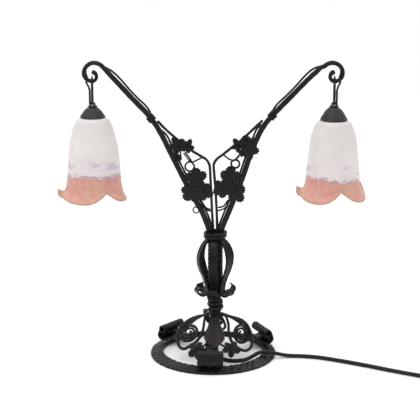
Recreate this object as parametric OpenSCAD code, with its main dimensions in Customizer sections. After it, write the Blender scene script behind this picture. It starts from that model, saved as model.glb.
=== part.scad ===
// Wrought-iron table lamp with two hanging bell shades of frosted glass.
// Millimetres. Origin on the table at the centre of the base ring, +Z up.
// The two arms spread along X; the front leg points to -Y.

/* [Base] */
// Outer diameter of the flat base ring
ring_od = 200; // [196:1:206]
// Width of the ring's bar
ring_w = 20; // [19:1:21]
// Height of the ring's inner edge
ring_t = 8.6; // [8:0.1:8.6]
// Height of the ring's outer edge
ring_edge = 4.2; // [3.5:0.1:4.5]
// Thickness of the leg strips
leg_t = 4; // [3:0.5:4]
// Length of the rolled feet at the sides
roll_l = 50; // [44:1:54]
// Length of the rolled foot at the front
roll_f = 40; // [36:1:44]
// Outer radius of the rolled feet
roll_r = 6.7; // [6:0.1:7]

/* [Stem] */
// Outer radius of the stem tube
tube_r = 5; // [4.6:0.1:5]
// Bore radius of the stem tube
tube_bore = 3.5; // [3.3:0.1:3.8]
// Width of each cage bar
cage_w = 13; // [12.5:0.1:13]
// Thickness of each cage bar
cage_t = 5; // [4:0.5:5.5]
// Turn of the cage about the stem, in degrees
cage_turn = -9; // [-15:1:0]
// Sideways lean of the stem from the middle of the ring
stem_x = 3.2; // [2.8:0.1:3.4]

/* [Arms] */
// Width of the arm bars at the collar
arm_w0 = 8.8; // [8:0.1:9]
// Width of the arm bars at the hook
arm_w1 = 7.2; // [7:0.1:7.6]
// Thickness of the arm bars, front to back
arm_t = 8; // [6:0.5:8]
// Radius of the inner rods
rod_r = 2.2; // [1.8:0.1:2.3]
// Radius of the electric lead on the arms
lead_r = 1.6; // [1.2:0.1:1.7]
// Distance of the hanging axes from the middle
hang_x = 184.5; // [183:0.5:186]

/* [Suspension] */
// Wire radius of the hanging links
link_r = 1.5; // [1.3:0.1:1.6]
// Free gap between the hook and the link wire
link_gap = 0.6; // [0.5:0.1:0.8]
// Wire radius of the eye on each cap
eye_r = 1.5; // [1.3:0.1:1.6]

/* [Shades] */
// Wall of the glass
glass_t = 3; // [2.5:0.1:3.2]
// Radius of the shade at its rim
rim_r = 53; // [51:0.5:54]
// Largest radius of the left cap
cap_l = 19.8; // [19:0.1:21]
// Largest radius of the right cap
cap_r = 21.4; // [20:0.1:22]

/* [Cord] */
// Diameter of the mains cord
cord_d = 6; // [5:0.5:6]

/* [Hidden] */
$fn = 48;

iron = [0.13, 0.12, 0.11];
iron2 = [0.20, 0.17, 0.15];
lead_c = [0.05, 0.05, 0.05];

// directions of the three legs
az_front = -93;
az_right = 24;
az_left = 142;

ring_ro = ring_od / 2;
ring_ri = ring_ro - ring_w;
rivet_r = 2.2;
rivet_at = ring_ri + 6.5;

// hook and hanging heights
hook_z = 436;        // tube centre at the bottom of the hook
hook_r = 3.2;        // tube radius there
big_r = 16;          // first sweep of the hook
low_r = 12;          // second sweep
eye_z = 400;         // centre of the eye on the cap
link_R = hook_r + link_gap + link_r;
eye_R = link_r + 0.55 + eye_r;

// arm centrelines in the plane of the lamp: [x, z]
LARM = [[-6.5, 197.2], [-7.6, 206], [-15.5, 228], [-27, 249.5], [-39.6, 272.5], [-53.8, 301.5], [-68, 330],
  [-77, 349], [-85.5, 364.5], [-94.5, 378], [-106, 391.5], [-119.5, 405.5], [-132.5, 419.5],
  [-146, 434], [-158, 447], [-168.7, 458.85]];
RARM = [[12.9, 197.2], [13.8, 206], [22.6, 228], [31.1, 249.5], [39.5, 271], [48.4, 296], [56.7, 321], [64.5, 341],
  [73, 360], [80.5, 371.5], [89, 382], [101, 394.5], [116, 410], [131, 425.5], [146, 441],
  [157.5, 451.5], [165.6, 459.6]];

// inner rods: [x, y, z]
LROD = [[0.2, 0, 197.2], [-0.6, 0, 212], [-2, 0, 236], [-3.7, 0, 272], [-5.2, 0, 302], [-7.5, 0, 310],
  [-11.5, 0, 315.6], [-19.5, 0, 320.6], [-33, 0, 328.8], [-47, 0, 339.2], [-58, 0, 348.6], [-68, 0, 357.5], [-76.5, 0, 365.6], [-84.3, 0, 374.2]];
RROD = [[6.2, 0, 197.2], [6, 0, 212], [5.2, 0, 236], [3.2, 0, 272], [0.8, 0, 302], [1.8, 0, 310],
  [6.5, 0, 316.6], [14.5, 0, 322.6], [22.5, 0, 329], [29, 0, 334.2], [42, 0, 344.5], [53, 0, 354.5], [64, 0, 365], [74.6, 0, 375.2]];

// mains cord: route on the table, [x, y, z]
CORD_A = [[3.2, 0, 51], [3.2, 0, 42], [2.6, -0.4, 32], [1, -4, 20], [3, -12, 8.5], [6.5, -23, 3.6], [13, -34.5, 3.1],
  [23, -42.5, 3.1], [36, -45, 3.1], [52, -41, 4], [63, -36, 8], [71, -32.6, 11.4], [79, -30, 12.4], [89, -27.2, 10.6], [101, -24.6, 7.4],
  [113, -23.1, 4.4], [126, -22.5, 3.1], [142, -23.5, 3.1], [168, -30, 3.1], [200, -45, 3.1], [235, -64, 3.1],
  [270, -85, 3.1], [300, -102, 3.1], [322, -114.3, 4], [336.6, -122.3, 8]];
sw_a = -29;                       // heading of the cord as it leaves the view
sw_c = [362, -136.4];             // middle of the switch
sw_h = 29;                        // half its length
coil_c = [440.5, -135];           // middle of the coil
coil_out = 39.4;
coil_in = 26.6;
coil_h = 18.4;
CORD_B = [[387.4, -150.5, 8], [397, -155.8, 5], [410, -162.8, 3.1], [421, -168, 3.1], [430, -170.4, 3.1]];
CORD_C = [[476, -133, 9.2], [475.8, -122, 8.8], [475, -110, 8], [474.2, -98, 7.2], [474, -88, 7]];
plug_c = [474, -70];              // middle of the plug body
plug_l = 36;

function unit(v) = v / max(norm(v), 1e-9);
function cr(a, b, c, d, t) = 0.5 * (2 * b + (c - a) * t + (2 * a - 5 * b + 4 * c - d) * t * t + (3 * b - a - 3 * c + d) * t * t * t);
function spline(P, n) = let (m = len(P) - 1) concat(
  [for (i = [0:m - 1]) for (k = [0:n - 1]) cr(P[max(i - 1, 0)], P[i], P[i + 1], P[min(i + 2, m)], k / n)], [P[m]]);
function tang(P) = let (m = len(P) - 1) [for (i = [0:m]) unit(P[min(i + 1, m)] - P[max(i - 1, 0)])];
function perp(v, t) = unit(v - (v * t) * t);

// a round wire of radius r (or tapering from r[0] to r[1]) swept along P with n sides
module wire(P, r, n = 8, up = [0, 1, 0]) {
  m = len(P) - 1;
  T = tang(P);
  U = [for (i = 0, u = perp(up, T[0]); i <= m; i = i + 1, u = perp(u, T[min(i, m)])) u];
  pts = [for (i = [0:m]) let (ra = is_list(r) ? r[0] + (r[1] - r[0]) * i / m : r, u = perp(U[i], T[i]), v = cross(T[i], u))
      for (j = [0:n - 1]) P[i] + ra * (cos(360 * j / n) * u + sin(360 * j / n) * v)];
  faces = concat(
    [[for (j = [0:n - 1]) j]],
    [for (i = [0:m - 1]) for (j = [0:n - 1]) [i * n + j, (i + 1) * n + j, (i + 1) * n + (j + 1) % n]],
    [for (i = [0:m - 1]) for (j = [0:n - 1]) [i * n + j, (i + 1) * n + (j + 1) % n, i * n + (j + 1) % n]],
    [[for (j = [n - 1:-1:0]) m * n + j]]);
  polyhedron(pts, faces, convexity = 8);
}

// flat outline of a strip whose centreline is P and whose width goes from w0 to w1
function strip(P, w0, w1) = let (m = len(P) - 1, T = tang(P),
  L = [for (i = [0:m]) let (w = w0 + (w1 - w0) * i / m) P[i] + [-T[i][1], T[i][0]] * w / 2],
  R = [for (i = [m:-1:0]) let (w = w0 + (w1 - w0) * i / m) P[i] - [-T[i][1], T[i][0]] * w / 2]) concat(L, R);

// stands a flat [x, z] outline up in the XZ plane, t thick about y = 0
module upright(t) { translate([0, t / 2, 0]) rotate([90, 0, 0]) linear_extrude(t) children(); }

// part of a ring of round wire in the XZ plane: centre c, sweep radius R, wire radius r
module bend(c, R, r, a0, a1) {
  translate([c[0], 0, c[1]]) rotate([90, 0, 0]) rotate([0, 0, a0]) rotate_extrude(angle = a1 - a0) translate([R, 0]) circle(r, $fn = 32);
}

// five-lobed toothed leaf outline of radius s, tip towards +Y of the drawing
function leaf_r(a) = 0.62 + 0.30 * pow(abs(cos(2.5 * (a - 90))), 0.8) + 0.08 * cos(a - 90) + 0.05 * cos(30 * (a - 90));
module leaf(s, t = 1.6, wide = 1) {
  linear_extrude(t) polygon([for (a = [0:6:354]) s * leaf_r(a) * [wide * cos(a), sin(a)]]);
}
// a leaf that faces the viewer at [x, z], its back at y, turned by tilt
module hung_leaf(x, y, z, s, tilt = 0, wide = 1) {
  translate([x, y, z]) rotate([90, 0, 0]) rotate([0, 0, tilt]) leaf(s, 1.5, wide);
}

// ---------- base ----------
module base_ring() {
  color(iron) difference() {
    rotate_extrude($fn = 96) polygon([[ring_ri, 0], [ring_ro, 0], [ring_ro, ring_edge - 1.4], [ring_ro - 1.5, ring_edge],
        [ring_ri + 1.5, ring_t], [ring_ri, ring_t - 0.8]]);
    for (a = [az_front, az_right, az_left]) rotate([0, 0, a]) translate([rivet_at, 0, -1]) cylinder(r = rivet_r + 0.05, h = ring_t + 2);
  }
}

LEG = [[6.6, 64.5], [14, 63], [24, 58.5], [34, 52], [43, 45.5], [52, 37.5], [60, 29.5], [67, 21.5], [73.5, 14.8],
  [79, 11.6], [84.5, 10.7], [89, 10.9], [92.8, 13], [94.2, 17.5], [93.2, 22.5], [91.4, 27]];
// the arch of the leg at azimuth az; its upper end follows the lean of the stem
function arch(az) = [for (p = LEG) [p[0] + stem_x * cos(az) * max(0, min(1, (p[1] - 14) / 50)), p[1]]];
module leg(az, rl) {
  c = [86.4, 27.2];
  z0 = ring_t + 0.1;
  dt = -stem_x * sin(az);
  r0 = 6.4 + stem_x * cos(az);
  rotate([0, 0, az]) difference() {
    intersection() {
      union() {
        translate([0, rl / 2 + 6, 0]) rotate([90, 0, 0]) linear_extrude(rl + 12) polygon(strip(arch(az), leg_t, leg_t - 0.4));
        translate([c[0], rl / 2 + 1, c[1]]) rotate([90, 0, 0]) difference() {
          cylinder(r = roll_r, h = rl + 2);
          translate([0, 0, -1]) cylinder(r = roll_r - 3, h = rl + 4);
        }
      }
      translate([0, 0, z0]) linear_extrude(80) polygon([[r0, dt - 3.6], [15, dt - 8], [60, dt / 4 - 10.5], [72, -13], [80, -rl / 2 + 1.5], [84, -rl / 2],
          [100, -rl / 2], [100, rl / 2], [84, rl / 2], [80, rl / 2 - 1.5], [72, 13], [60, dt / 4 + 10.5], [15, dt + 8], [r0, dt + 3.6]]);
    }
    translate([rivet_at, 0, -1]) cylinder(r = rivet_r + 0.05, h = 18);
  }
}
module front_leg() { color(iron) leg(az_front, roll_f); }
module right_leg() { color(iron) leg(az_right, roll_l); }
module left_leg() { color(iron) leg(az_left, roll_l); }

module foot_rivets() {
  color(iron2) for (a = [az_front, az_right, az_left]) rotate([0, 0, a]) translate([rivet_at, 0, 0]) union() {
    cylinder(r = rivet_r, h = 12.8);
    translate([0, 0, 12.8]) cylinder(r1 = rivet_r, r2 = rivet_r - 0.7, h = 0.9, $fn = 32);
  }
}

// wire scrolls that fill the windows between the legs: a coil inside a drop-shaped loop, both ends carried up to the stem
scroll_r = 1.8;
function coil(O, U, V, r1, a1) = [for (i = [0:45]) let (f = i / 45, a = a1 - 1035 * (1 - f), r = 2.8 + (r1 - 2.8) * f) O + r * (cos(a) * U + sin(a) * V)];
module base_scroll(O, U, V, r1, tail, loop) {
  color(iron) union() {
    wire(concat(coil(O, U, V, r1, 65), tail), scroll_r, 6, [0.2, 0.3, 1]);
    wire(spline(loop, 2), scroll_r, 6, [0.2, 0.3, 1]);
  }
}
module side_scroll() {
  base_scroll([44.4, -26, 42.2], [0.8, 0.6, 0], [-0.156, 0.207, 0.966], 15.4,
    [[40, -15.5, 59.5], [31, -11, 63.5], [22, -9.6, 65.6], [15, -9, 66.4]],
    [[10.5, -12, 69], [14.5, -14, 70], [20, -18, 66.5], [24, -24, 56.5], [24.5, -31, 44], [29.5, -38, 31.5], [39, -41, 22.5], [50, -39, 17.5],
     [58.5, -33, 20], [61.5, -26, 30.5], [58, -17, 44], [49.5, -10, 55.5], [36, -6, 61], [20, -5.2, 64.4], [13.4, -5, 64.6]]);
}
module right_base_scroll() { side_scroll(); }
module left_base_scroll() {
  base_scroll([-38, -26, 43], [-0.906, 0.423, 0], [0.3, 0.64, 0.707], 15.4,
    [[-33, -12, 58.5], [-25, -9.6, 62.5], [-17, -9, 65.4], [-9.5, -8.6, 66.4]],
    [[-9, -12, 69], [-12.5, -15, 68], [-14, -20, 60.5], [-16, -27, 47.5], [-19.5, -32, 39], [-28.5, -37, 30], [-37, -39, 25], [-45.5, -39, 20.5],
     [-53, -34, 22.5], [-57, -26, 34], [-53.5, -17, 45.5], [-41.5, -10, 56.5], [-27.5, -6, 62.5], [-15, -5, 64.6], [-8.4, -5, 64.6]]);
}
module back_base_scroll() { rotate([0, 0, 118]) side_scroll(); }

// leaf that lies over the front leg and follows its arch
module front_leg_leaf() {
  A = arch(az_front);
  T = tang(A);
  P = [for (i = [0:8]) A[i] + [-T[i][1], T[i][0]] * (leg_t / 2 + 1.3)];
  color(iron2) rotate([0, 0, az_front]) intersection() {
    translate([0, 24, 0]) rotate([90, 0, 0]) linear_extrude(48) polygon(strip(P, 1.8, 1.8));
    linear_extrude(90) translate([38.5, 3.6]) polygon([for (a = [0:6:354]) let (k = leaf_r(a + 90)) [27 * k * cos(a), (16.5 - 2 * cos(a)) * k * sin(a)]]);
  }
}
// two toothed leaves beside the front foot
module base_leaves() {
  color(iron) {
    translate([-25, -68, 28.5]) rotate([58, 0, -14]) rotate([0, 0, 130]) leaf(14, 1.8, 0.9);
    translate([27, -68, 31]) rotate([58, 0, 14]) rotate([0, 0, -110]) leaf(13, 1.8, 0.9);
  }
}

// ---------- stem ----------
module stem_tube() {
  color(iron) difference() {
    translate([stem_x, 0, 49.8]) cylinder(r = tube_r, h = 147);
    translate([stem_x, 0, 49]) cylinder(r = tube_bore, h = 149);
  }
}
module stem_lock_nut() {
  color(iron2) difference() {
    translate([stem_x, 0, 55]) cylinder(r = 9.2, h = 6.2, $fn = 6);
    translate([stem_x, 0, 54]) cylinder(r = tube_r + 0.05, h = 10);
  }
}
module cable_bush() {
  color(lead_c) difference() {
    translate([stem_x, 0, 44.8]) cylinder(r = 6.2, h = 4.9);
    translate([stem_x, 0, 44]) cylinder(r = cord_d / 2 + 0.1, h = 8);
  }
}
module rope_collar() {
  color(iron) translate([stem_x, 0, 0]) difference() {
    union() {
      for (k = [0:2]) translate([0, 0, 75 + 8.2 * k]) rotate_extrude() translate([8.3, 0]) circle(4.2, $fn = 32);
      translate([0, 0, 66.8]) cylinder(r = 9.2, h = 30);
      translate([0, 0, 96.6]) cylinder(r = 11.2, h = 15.6);
    }
    translate([0, 0, 60]) cylinder(r = tube_r + 0.1, h = 60);
  }
}
module twisted_core() {
  color(iron2) translate([stem_x, 0, 112.4]) linear_extrude(71.6, twist = 760, slices = 52, $fn = 0) difference() {
    union() {
      circle(7.8, $fn = 20);
      for (k = [0:4]) rotate(72 * k) translate([7.7, 0]) circle(4.2, $fn = 10);
    }
    circle(tube_r + 0.5, $fn = 12);
  }
}
CAGE = [[10.8, 196.6], [11.6, 190.5], [16.5, 184.5], [21.5, 178.5], [25.8, 168.5], [27.6, 158.5], [26.6, 148], [23, 137],
  [18, 125], [14.6, 115], [13.4, 107.5], [13.8, 103.4], [16, 100.6], [20.4, 99.4], [25.4, 100], [29.4, 102.4], [31.4, 106.2], [30.6, 110], [27.6, 111.6]];
// six bars stand round the core; each is drawn narrower where the bars meet at the neck and at the top
module cage_bar(k) {
  color(iron) translate([stem_x, 0, 0]) rotate([0, 0, -90 + cage_turn + 60 * k]) intersection() {
    translate([0, cage_w / 2, 0]) rotate([90, 0, 0]) linear_extrude(cage_w) polygon(strip(CAGE, cage_t - 1, cage_t - 1.6));
    rotate([90, 0, 90]) linear_extrude(40) polygon([[-6.2, 90], [6.2, 90], [6.2, 112], [6.5, 118], [6.5, 182], [5.2, 190], [4.7, 194], [4.7, 200],
        [-4.7, 200], [-4.7, 194], [-5.2, 190], [-6.5, 182], [-6.5, 118], [-6.2, 112]]);
  }
}
module cage_bar_front() { cage_bar(0); }
module cage_bar_right_front() { cage_bar(1); }
module cage_bar_right_back() { cage_bar(2); }
module cage_bar_back() { cage_bar(3); }
module cage_bar_left_back() { cage_bar(4); }
module cage_bar_left_front() { cage_bar(5); }
module top_collar() {
  color(iron) translate([stem_x, 0, 0]) difference() {
    rotate_extrude() union() {
      translate([15.4, 190.8]) square([1.9, 10.2]);
      translate([16.2, 193.4]) circle(2.4, $fn = 32);
      translate([16.2, 198.4]) circle(2.4, $fn = 32);
    }
    translate([0, 0, 180]) cylinder(r = 15.4, h = 30);
  }
}

// ---------- arms ----------
// the hook: three tangent sweeps of round bar and a rounded tip; s = -1 left, 1 right
module hook(s) {
  mirror([s > 0 ? 1 : 0, 0, 0]) union() {
    bend([-hang_x + big_r - low_r, hook_z + low_r], big_r, 3.5, 42.7, 182);
    bend([-hang_x, hook_z + low_r], low_r, hook_r, 178, 272);
    bend([-hang_x, hook_z + 7], 7, 3, 268, 430);
    translate([-hang_x - 0.4, 0, hook_z + 12.4]) sphere(3.1, $fn = 32);
  }
}
module arm(P, s) {
  color(iron) union() {
    upright(arm_t) polygon(strip(P, arm_w0, arm_w1));
    hook(s);
    // fillet where the flat bar is drawn out to the round hook
    translate([P[len(P) - 1][0], 0, P[len(P) - 1][1]]) sphere(3.9, $fn = 32);
  }
}
module left_arm() { arm(LARM, -1); }
module right_arm() { arm(RARM, 1); }

module left_inner_rod() { color(iron) wire(spline(LROD, 2), rod_r, 8); }
module right_inner_rod() { color(iron) wire(spline(RROD, 2), rod_r, 8); }

// band that ties each arm where the rod and the lead join it
module clip_at(x, z, a) {
  color(iron2) translate([x, 0, z]) rotate([0, -a, 0]) difference() {
    translate([-5, -6.4, -6.6]) cube([10, 12.8, 13.2]);
    translate([-6, -4.15, -4.6]) cube([12, 8.3, 9.2]);
  }
}
module left_arm_clip() { clip_at(-95.3, 379, 131); }
module right_arm_clip() { clip_at(90.2, 383.3, 46.5); }

module left_leaves() {
  color(iron) {
    hung_leaf(-54.5, -4.4, 337, 13.4, 35);
    hung_leaf(-40, -6.2, 336.5, 10.6, -30);
    hung_leaf(-55.5, -8, 321, 9, 140);
    hung_leaf(-26.5, -4.4, 285, 15.6, 5);
    hung_leaf(-33.5, -6.2, 263, 15, 140);
    hung_leaf(-12.5, -8, 266.5, 13.6, -120);
  }
}
module right_leaves() {
  color(iron) {
    hung_leaf(38.5, -6.2, 337, 10.6, 30);
    hung_leaf(54, -4.4, 330, 16.4, -20);
    hung_leaf(50, -8, 346, 8.6, 20);
    hung_leaf(25.5, -4.4, 287, 16, -5);
    hung_leaf(12, -6.2, 270, 13.4, 120);
    hung_leaf(35.5, -8, 262.5, 15, -140);
  }
}

// thin wire tendrils that link the leaves, the rods and the arms
function ringlet(x, y, z, r, a0, a1, n, dy = 0) = [for (i = [0:n]) let (f = i / n, a = a0 + (a1 - a0) * f) [x + r * cos(a), y + dy * f, z + r * sin(a)]];
module left_tendrils() {
  color(iron) {
    wire(concat([[-43, -2, 326], [-37, -2, 318], [-31.5, -2, 309]], ringlet(-36.4, -2, 304, 7, 20, -300, 14, 3.6), [[-28, 0.6, 312.6], [-20.6, 0, 316.4]]), 1.3, 6);
    wire([[-19.5, -2.6, 252], [-15.5, -2, 245], [-10.8, -0.8, 238.6], [-6, 0, 236]], 1.4, 6);
    wire(concat([[-25, -6, 246.5]], ringlet(-26.5, -6, 236.5, 4.8, 70, 330, 10)), 1.2, 6);
  }
}
module right_tendrils() {
  color(iron) {
    wire(concat([[18.8, 0, 320], [24, -3, 316.4], [28, -6, 315.4]], ringlet(34, -6.8, 309, 6.4, 120, -560, 26, 5.8), [[37.6, -1.4, 318], [42, -2, 326]]), 1.3, 6);
    wire([[22.4, -2, 250.6], [16.4, -1, 241.8], [9.4, 0, 239]], 1.4, 6);
    wire([[22, -2, 243.6], [16.4, -1, 237.2], [9.4, 0, 234.2]], 1.4, 6);
  }
}

// electric lead along each arm: beside the bar, behind the band, over the top and behind the hook
function beside(P, i, o, y) = let (t = tang(P)[i], n = t[0] < 0 ? [t[1], -t[0]] : [-t[1], t[0]]) [P[i][0] + n[0] * o, y, P[i][1] + n[1] * o];
module arm_lead(P, s) {
  m = len(P) - 1;
  k = m - 6;
  bx = hang_x + big_r - low_r - 8;
  color(lead_c) wire(spline(concat(
    [[stem_x + s * 4, 9.4, 197.6], [stem_x + s * 6, 8.4, 208]],
    [for (i = [2:k - 3]) beside(P, i, 6.6, 1.2 + (i == 2 ? 2.4 : 0))],
    [beside(P, k - 2, 6, 5.8), beside(P, k - 1, 0, 9), beside(P, k, 1.5, 9), beside(P, k + 1, 6, 5.6)],
    [for (i = [k + 2:m - 3]) beside(P, i, 7.2, 0.6)],
    [beside(P, m - 2, 6.8, 3), beside(P, m - 1, 5.2, 6)],
    [for (a = [50:32:210]) [s * (bx - 15.4 * cos(a) * (a > 170 ? 0.9 : 1)), 6, hook_z + low_r + 15.4 * sin(a) * (a > 170 ? 0.9 : 1)]]), 2), lead_r, 6);
}
module left_arm_lead() { arm_lead(LARM, -1); }
module right_arm_lead() { arm_lead(RARM, 1); }

// ---------- suspension ----------
// elongated wire link, standing in the YZ plane at x = 0
module link() {
  zb = eye_z + link_R;
  union() {
    translate([0, 0, hook_z]) rotate([90, 0, 90]) rotate_extrude(angle = 180) translate([link_R, 0]) circle(link_r, $fn = 32);
    translate([0, 0, zb]) rotate([90, 0, 90]) rotate([0, 0, 180]) rotate_extrude(angle = 180) translate([link_R, 0]) circle(link_r, $fn = 32);
    for (s = [-1, 1]) translate([0, s * link_R, zb]) cylinder(r = link_r, h = hook_z - zb, $fn = 32);
  }
}
module left_link() { color(iron) translate([-hang_x, 0, 0]) link(); }
module right_link() { color(iron) translate([hang_x, 0, 0]) link(); }

module drop_lead(s) {
  color(lead_c) wire([for (i = [0:8]) [s * hang_x + s * 3.3, -link_R - 0.4, 430.5 - 3.7 * i]], lead_r, 8, [1, 0, 0]);
}
module left_drop_lead() { drop_lead(-1); }
module right_drop_lead() { drop_lead(1); }

// spun cap with its eye; drawn at x = 0, base radius R at height zb
module cap(R, zb) {
  h = 396.6 - zb;
  union() {
    difference() {
      rotate_extrude() polygon([[0, zb + h], [6.5, zb + h], [10.2, zb + h - 2.2], [R * 0.74, zb + h * 0.56], [R * 0.9, zb + h * 0.26], [R, zb],
          [R - 1.6, zb], [R * 0.9 - 1.8, zb + h * 0.24], [R * 0.74 - 1.6, zb + h * 0.46], [9.4, zb + h - 5], [0, zb + h - 5]]);
      translate([s_hole, -link_R - 0.4, 380]) cylinder(r = lead_r + 0.5, h = 30);
    }
    translate([0, 0, eye_z]) rotate([90, 0, 0]) rotate_extrude() translate([eye_R, 0]) circle(eye_r, $fn = 32);
  }
}
s_hole = 3.3;
module left_cap() { color(iron2) translate([-hang_x, 0, 0]) mirror([1, 0, 0]) cap(cap_l, zl + 4.4); }
module right_cap() { color(iron2) translate([hang_x, 0, 0]) cap(cap_r, zr + 4.4); }

zl = 377;   // seat of the left shade on its ring
zr = 373;   // seat of the right shade on its ring

module holder(z) {
  union() {
    difference() {
      translate([0, 0, z - 25]) cylinder(r = 13, h = 33);
      translate([0, 0, z - 26]) cylinder(r = 7.6, h = 26);
    }
    translate([0, 0, z + 7.9]) cylinder(r = 5, h = 391.5 - z - 7.9);
  }
}
module left_holder() { color("ivory") translate([-hang_x, 0, 0]) holder(zl); }
module right_holder() { color("ivory") translate([hang_x, 0, 0]) holder(zr); }

module shade_ring(z) {
  difference() {
    union() { translate([0, 0, z - 3]) cylinder(r = 19, h = 3); translate([0, 0, z - 8]) cylinder(r = 15.6, h = 6); }
    translate([0, 0, z - 9]) cylinder(r = 13.05, h = 12);
  }
}
module left_shade_ring() { color("ivory") translate([-hang_x, 0, 0]) shade_ring(zl); }
module right_shade_ring() { color("ivory") translate([hang_x, 0, 0]) shade_ring(zr); }

// bell shade: outer profile as [radius, depth below the seat]; e takes that much off its length
function bell(e = 0) = [[13.9, -3], [20, -3], [25.4, 1], [29, 8.5], [32.2, 16], [34.8, 26.5], [37.6, 44], [39.2, 60], [40.2, 76 - e], [41.2, 90 - e],
  [43.2, 104 - e], [46, 112 - e], [50, 118.5 - e], [rim_r, 121 - e]];
module shade(z, turns, e, notch) {
  B = bell(e);
  translate([0, 0, z]) difference() {
    rotate_extrude($fn = 72) polygon([for (p = concat(B, [[rim_r - 0.6, 125 - e]], [for (q = [for (i = [11:-1:2]) B[i]]) [q[0] - glass_t, q[1] + 0.6]],
        [[21, 0], [13.9, 0]])) [p[0], -p[1]]]);
    // four scallops of the rim
    for (a = turns) rotate([0, 0, a]) translate([30, 0, -notch - 12.5]) rotate([0, 90, 0]) cylinder(r = 12.5, h = 40);
    translate([0, 0, -140]) cylinder(r = 80, h = 140 - 122.7 + e);
  }
}
module left_shade() { color([0.96, 0.78, 0.72]) translate([-hang_x, 0, 0]) shade(zl, [-62, 40, 122, 204], 0, 105); }
module right_shade() { color([0.96, 0.78, 0.72]) translate([hang_x, 0, 0]) shade(zr, [-78, 34, 112, 190], 4.4, 98); }

module bulb_glass(z) {
  translate([0, 0, z]) rotate_extrude() polygon([[0, -26], [8.6, -26], [9.6, -30], [13.4, -38], [16.6, -47], [17.5, -56], [16.4, -65], [13, -72], [7.5, -77.5], [0, -79.5]]);
}
module bulb_base(z) {
  translate([0, 0, z]) union() {
    translate([0, 0, -26]) cylinder(r = 6.9, h = 23);
    translate([0, 0, -3]) cylinder(r = 3, h = 2.9);
  }
}
module left_bulb_glass() { color("white") translate([-hang_x, 0, 0]) bulb_glass(zl); }
module right_bulb_glass() { color("white") translate([hang_x, 0, 0]) bulb_glass(zr); }
module left_bulb_base() { color("goldenrod") translate([-hang_x, 0, 0]) bulb_base(zl); }
module right_bulb_base() { color("goldenrod") translate([hang_x, 0, 0]) bulb_base(zr); }

// ---------- mains cord, switch and plug ----------
module cord_run() { color(lead_c) wire(spline(CORD_A, 2), cord_d / 2, 12, [0.4, 0.9, 0]); }
module cord_mid() { color(lead_c) wire(spline(CORD_B, 2), cord_d / 2, 12, [0.4, 0.9, 0]); }
module cord_tail() { color(lead_c) wire(spline(CORD_C, 2), cord_d / 2, 12, [1, 0, 0]); }
module cord_coil() {
  color(lead_c) translate([coil_c[0], coil_c[1], 0]) rotate_extrude($fn = 72)
    polygon([[coil_in, 1.6], [coil_in + 1.6, 0], [coil_out - 1.6, 0], [coil_out, 1.6], [coil_out, coil_h - 1.6], [coil_out - 1.6, coil_h], [coil_in + 1.6, coil_h], [coil_in, coil_h - 1.6]]);
}
// strap round the turns of the coil
module cord_tie() {
  color([0.08, 0.08, 0.08]) translate([coil_c[0], coil_c[1], 0]) rotate([0, 0, 120]) translate([(coil_in + coil_out) / 2, 0, coil_h / 2]) difference() {
    translate([-8.2, -3, -coil_h / 2]) cube([16.4, 6, coil_h + 1.6]);
    translate([-6.7, -4, -coil_h / 2 - 1]) cube([13.4, 8, coil_h + 1.1]);
  }
}

module at_switch() { translate([sw_c[0], sw_c[1], 0]) rotate([0, 0, sw_a]) children(); }
module case_outline(h) {
  linear_extrude(h) polygon([[-sw_h, -4.4], [-sw_h + 8, -9.6], [-sw_h + 13, -11], [sw_h - 13, -11], [sw_h - 8, -9.6], [sw_h, -4.4],
      [sw_h, 4.4], [sw_h - 8, 9.6], [sw_h - 13, 11], [-sw_h + 13, 11], [-sw_h + 8, 9.6], [-sw_h, 4.4]]);
}
module rocker_room() {
  translate([0, 4.6, 9]) rotate([90, 0, 0]) cylinder(r = 9.1, h = 9.2);
  translate([0, 6.6, 9]) rotate([90, 0, 0]) cylinder(r = 1.55, h = 13.2);
}
module switch_lower_case() {
  color(lead_c) at_switch() difference() {
    case_outline(8.95);
    translate([-9.3, -4.6, 2.2]) cube([18.6, 9.2, 10]);
    translate([0, 6.6, 9]) rotate([90, 0, 0]) cylinder(r = 1.55, h = 13.2);
  }
}
module switch_upper_case() {
  color(lead_c) at_switch() difference() {
    translate([0, 0, 9.05]) case_outline(6.95);
    rocker_room();
  }
}
// rocker: turns about its pin across the case; at rest its far end is down
module switch_rocker() {
  color([0.3, 0.3, 0.3]) at_switch() translate([0, 0, 9]) union() {
    rotate([0, 7, 0]) intersection() {
      translate([0, 4.2, 0]) rotate([90, 0, 0]) cylinder(r = 8.7, h = 8.4);
      translate([-10, -5, 0.8]) cube([20, 10, 7.3]);
    }
    translate([0, 4.2, 0]) rotate([90, 0, 0]) cylinder(r = 3.2, h = 8.4);
    translate([0, 6.2, 0]) rotate([90, 0, 0]) cylinder(r = 1.5, h = 12.4);
  }
}

module at_plug() { translate([plug_c[0], plug_c[1], 6.95]) rotate([0, 0, 90]) children(); }
module plug_body() {
  color(lead_c) at_plug() difference() {
    union() {
      translate([0, 0, -6.85]) linear_extrude(13.7) polygon([[-plug_l / 2 + 6, -9], [-plug_l / 2 + 14, -16], [plug_l / 2 - 2, -17.6], [plug_l / 2, -15.6],
          [plug_l / 2, 15.6], [plug_l / 2 - 2, 17.6], [-plug_l / 2 + 14, 16], [-plug_l / 2 + 6, 9]]);
      translate([-plug_l / 2, 0, 0]) rotate([0, 90, 0]) cylinder(r1 = 4.2, r2 = 6.6, h = 10, $fn = 32);
    }
    for (s = [-1, 1]) translate([plug_l / 2 - 6, s * 9.3, 0]) rotate([0, 90, 0]) cylinder(r = 2.05, h = 8);
  }
}
module plug_pins() {
  color("silver") at_plug() for (s = [-1, 1]) translate([plug_l / 2 - 5.9, s * 9.3, 0]) rotate([0, 90, 0]) cylinder(r = 2, h = 24.9);
}

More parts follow.
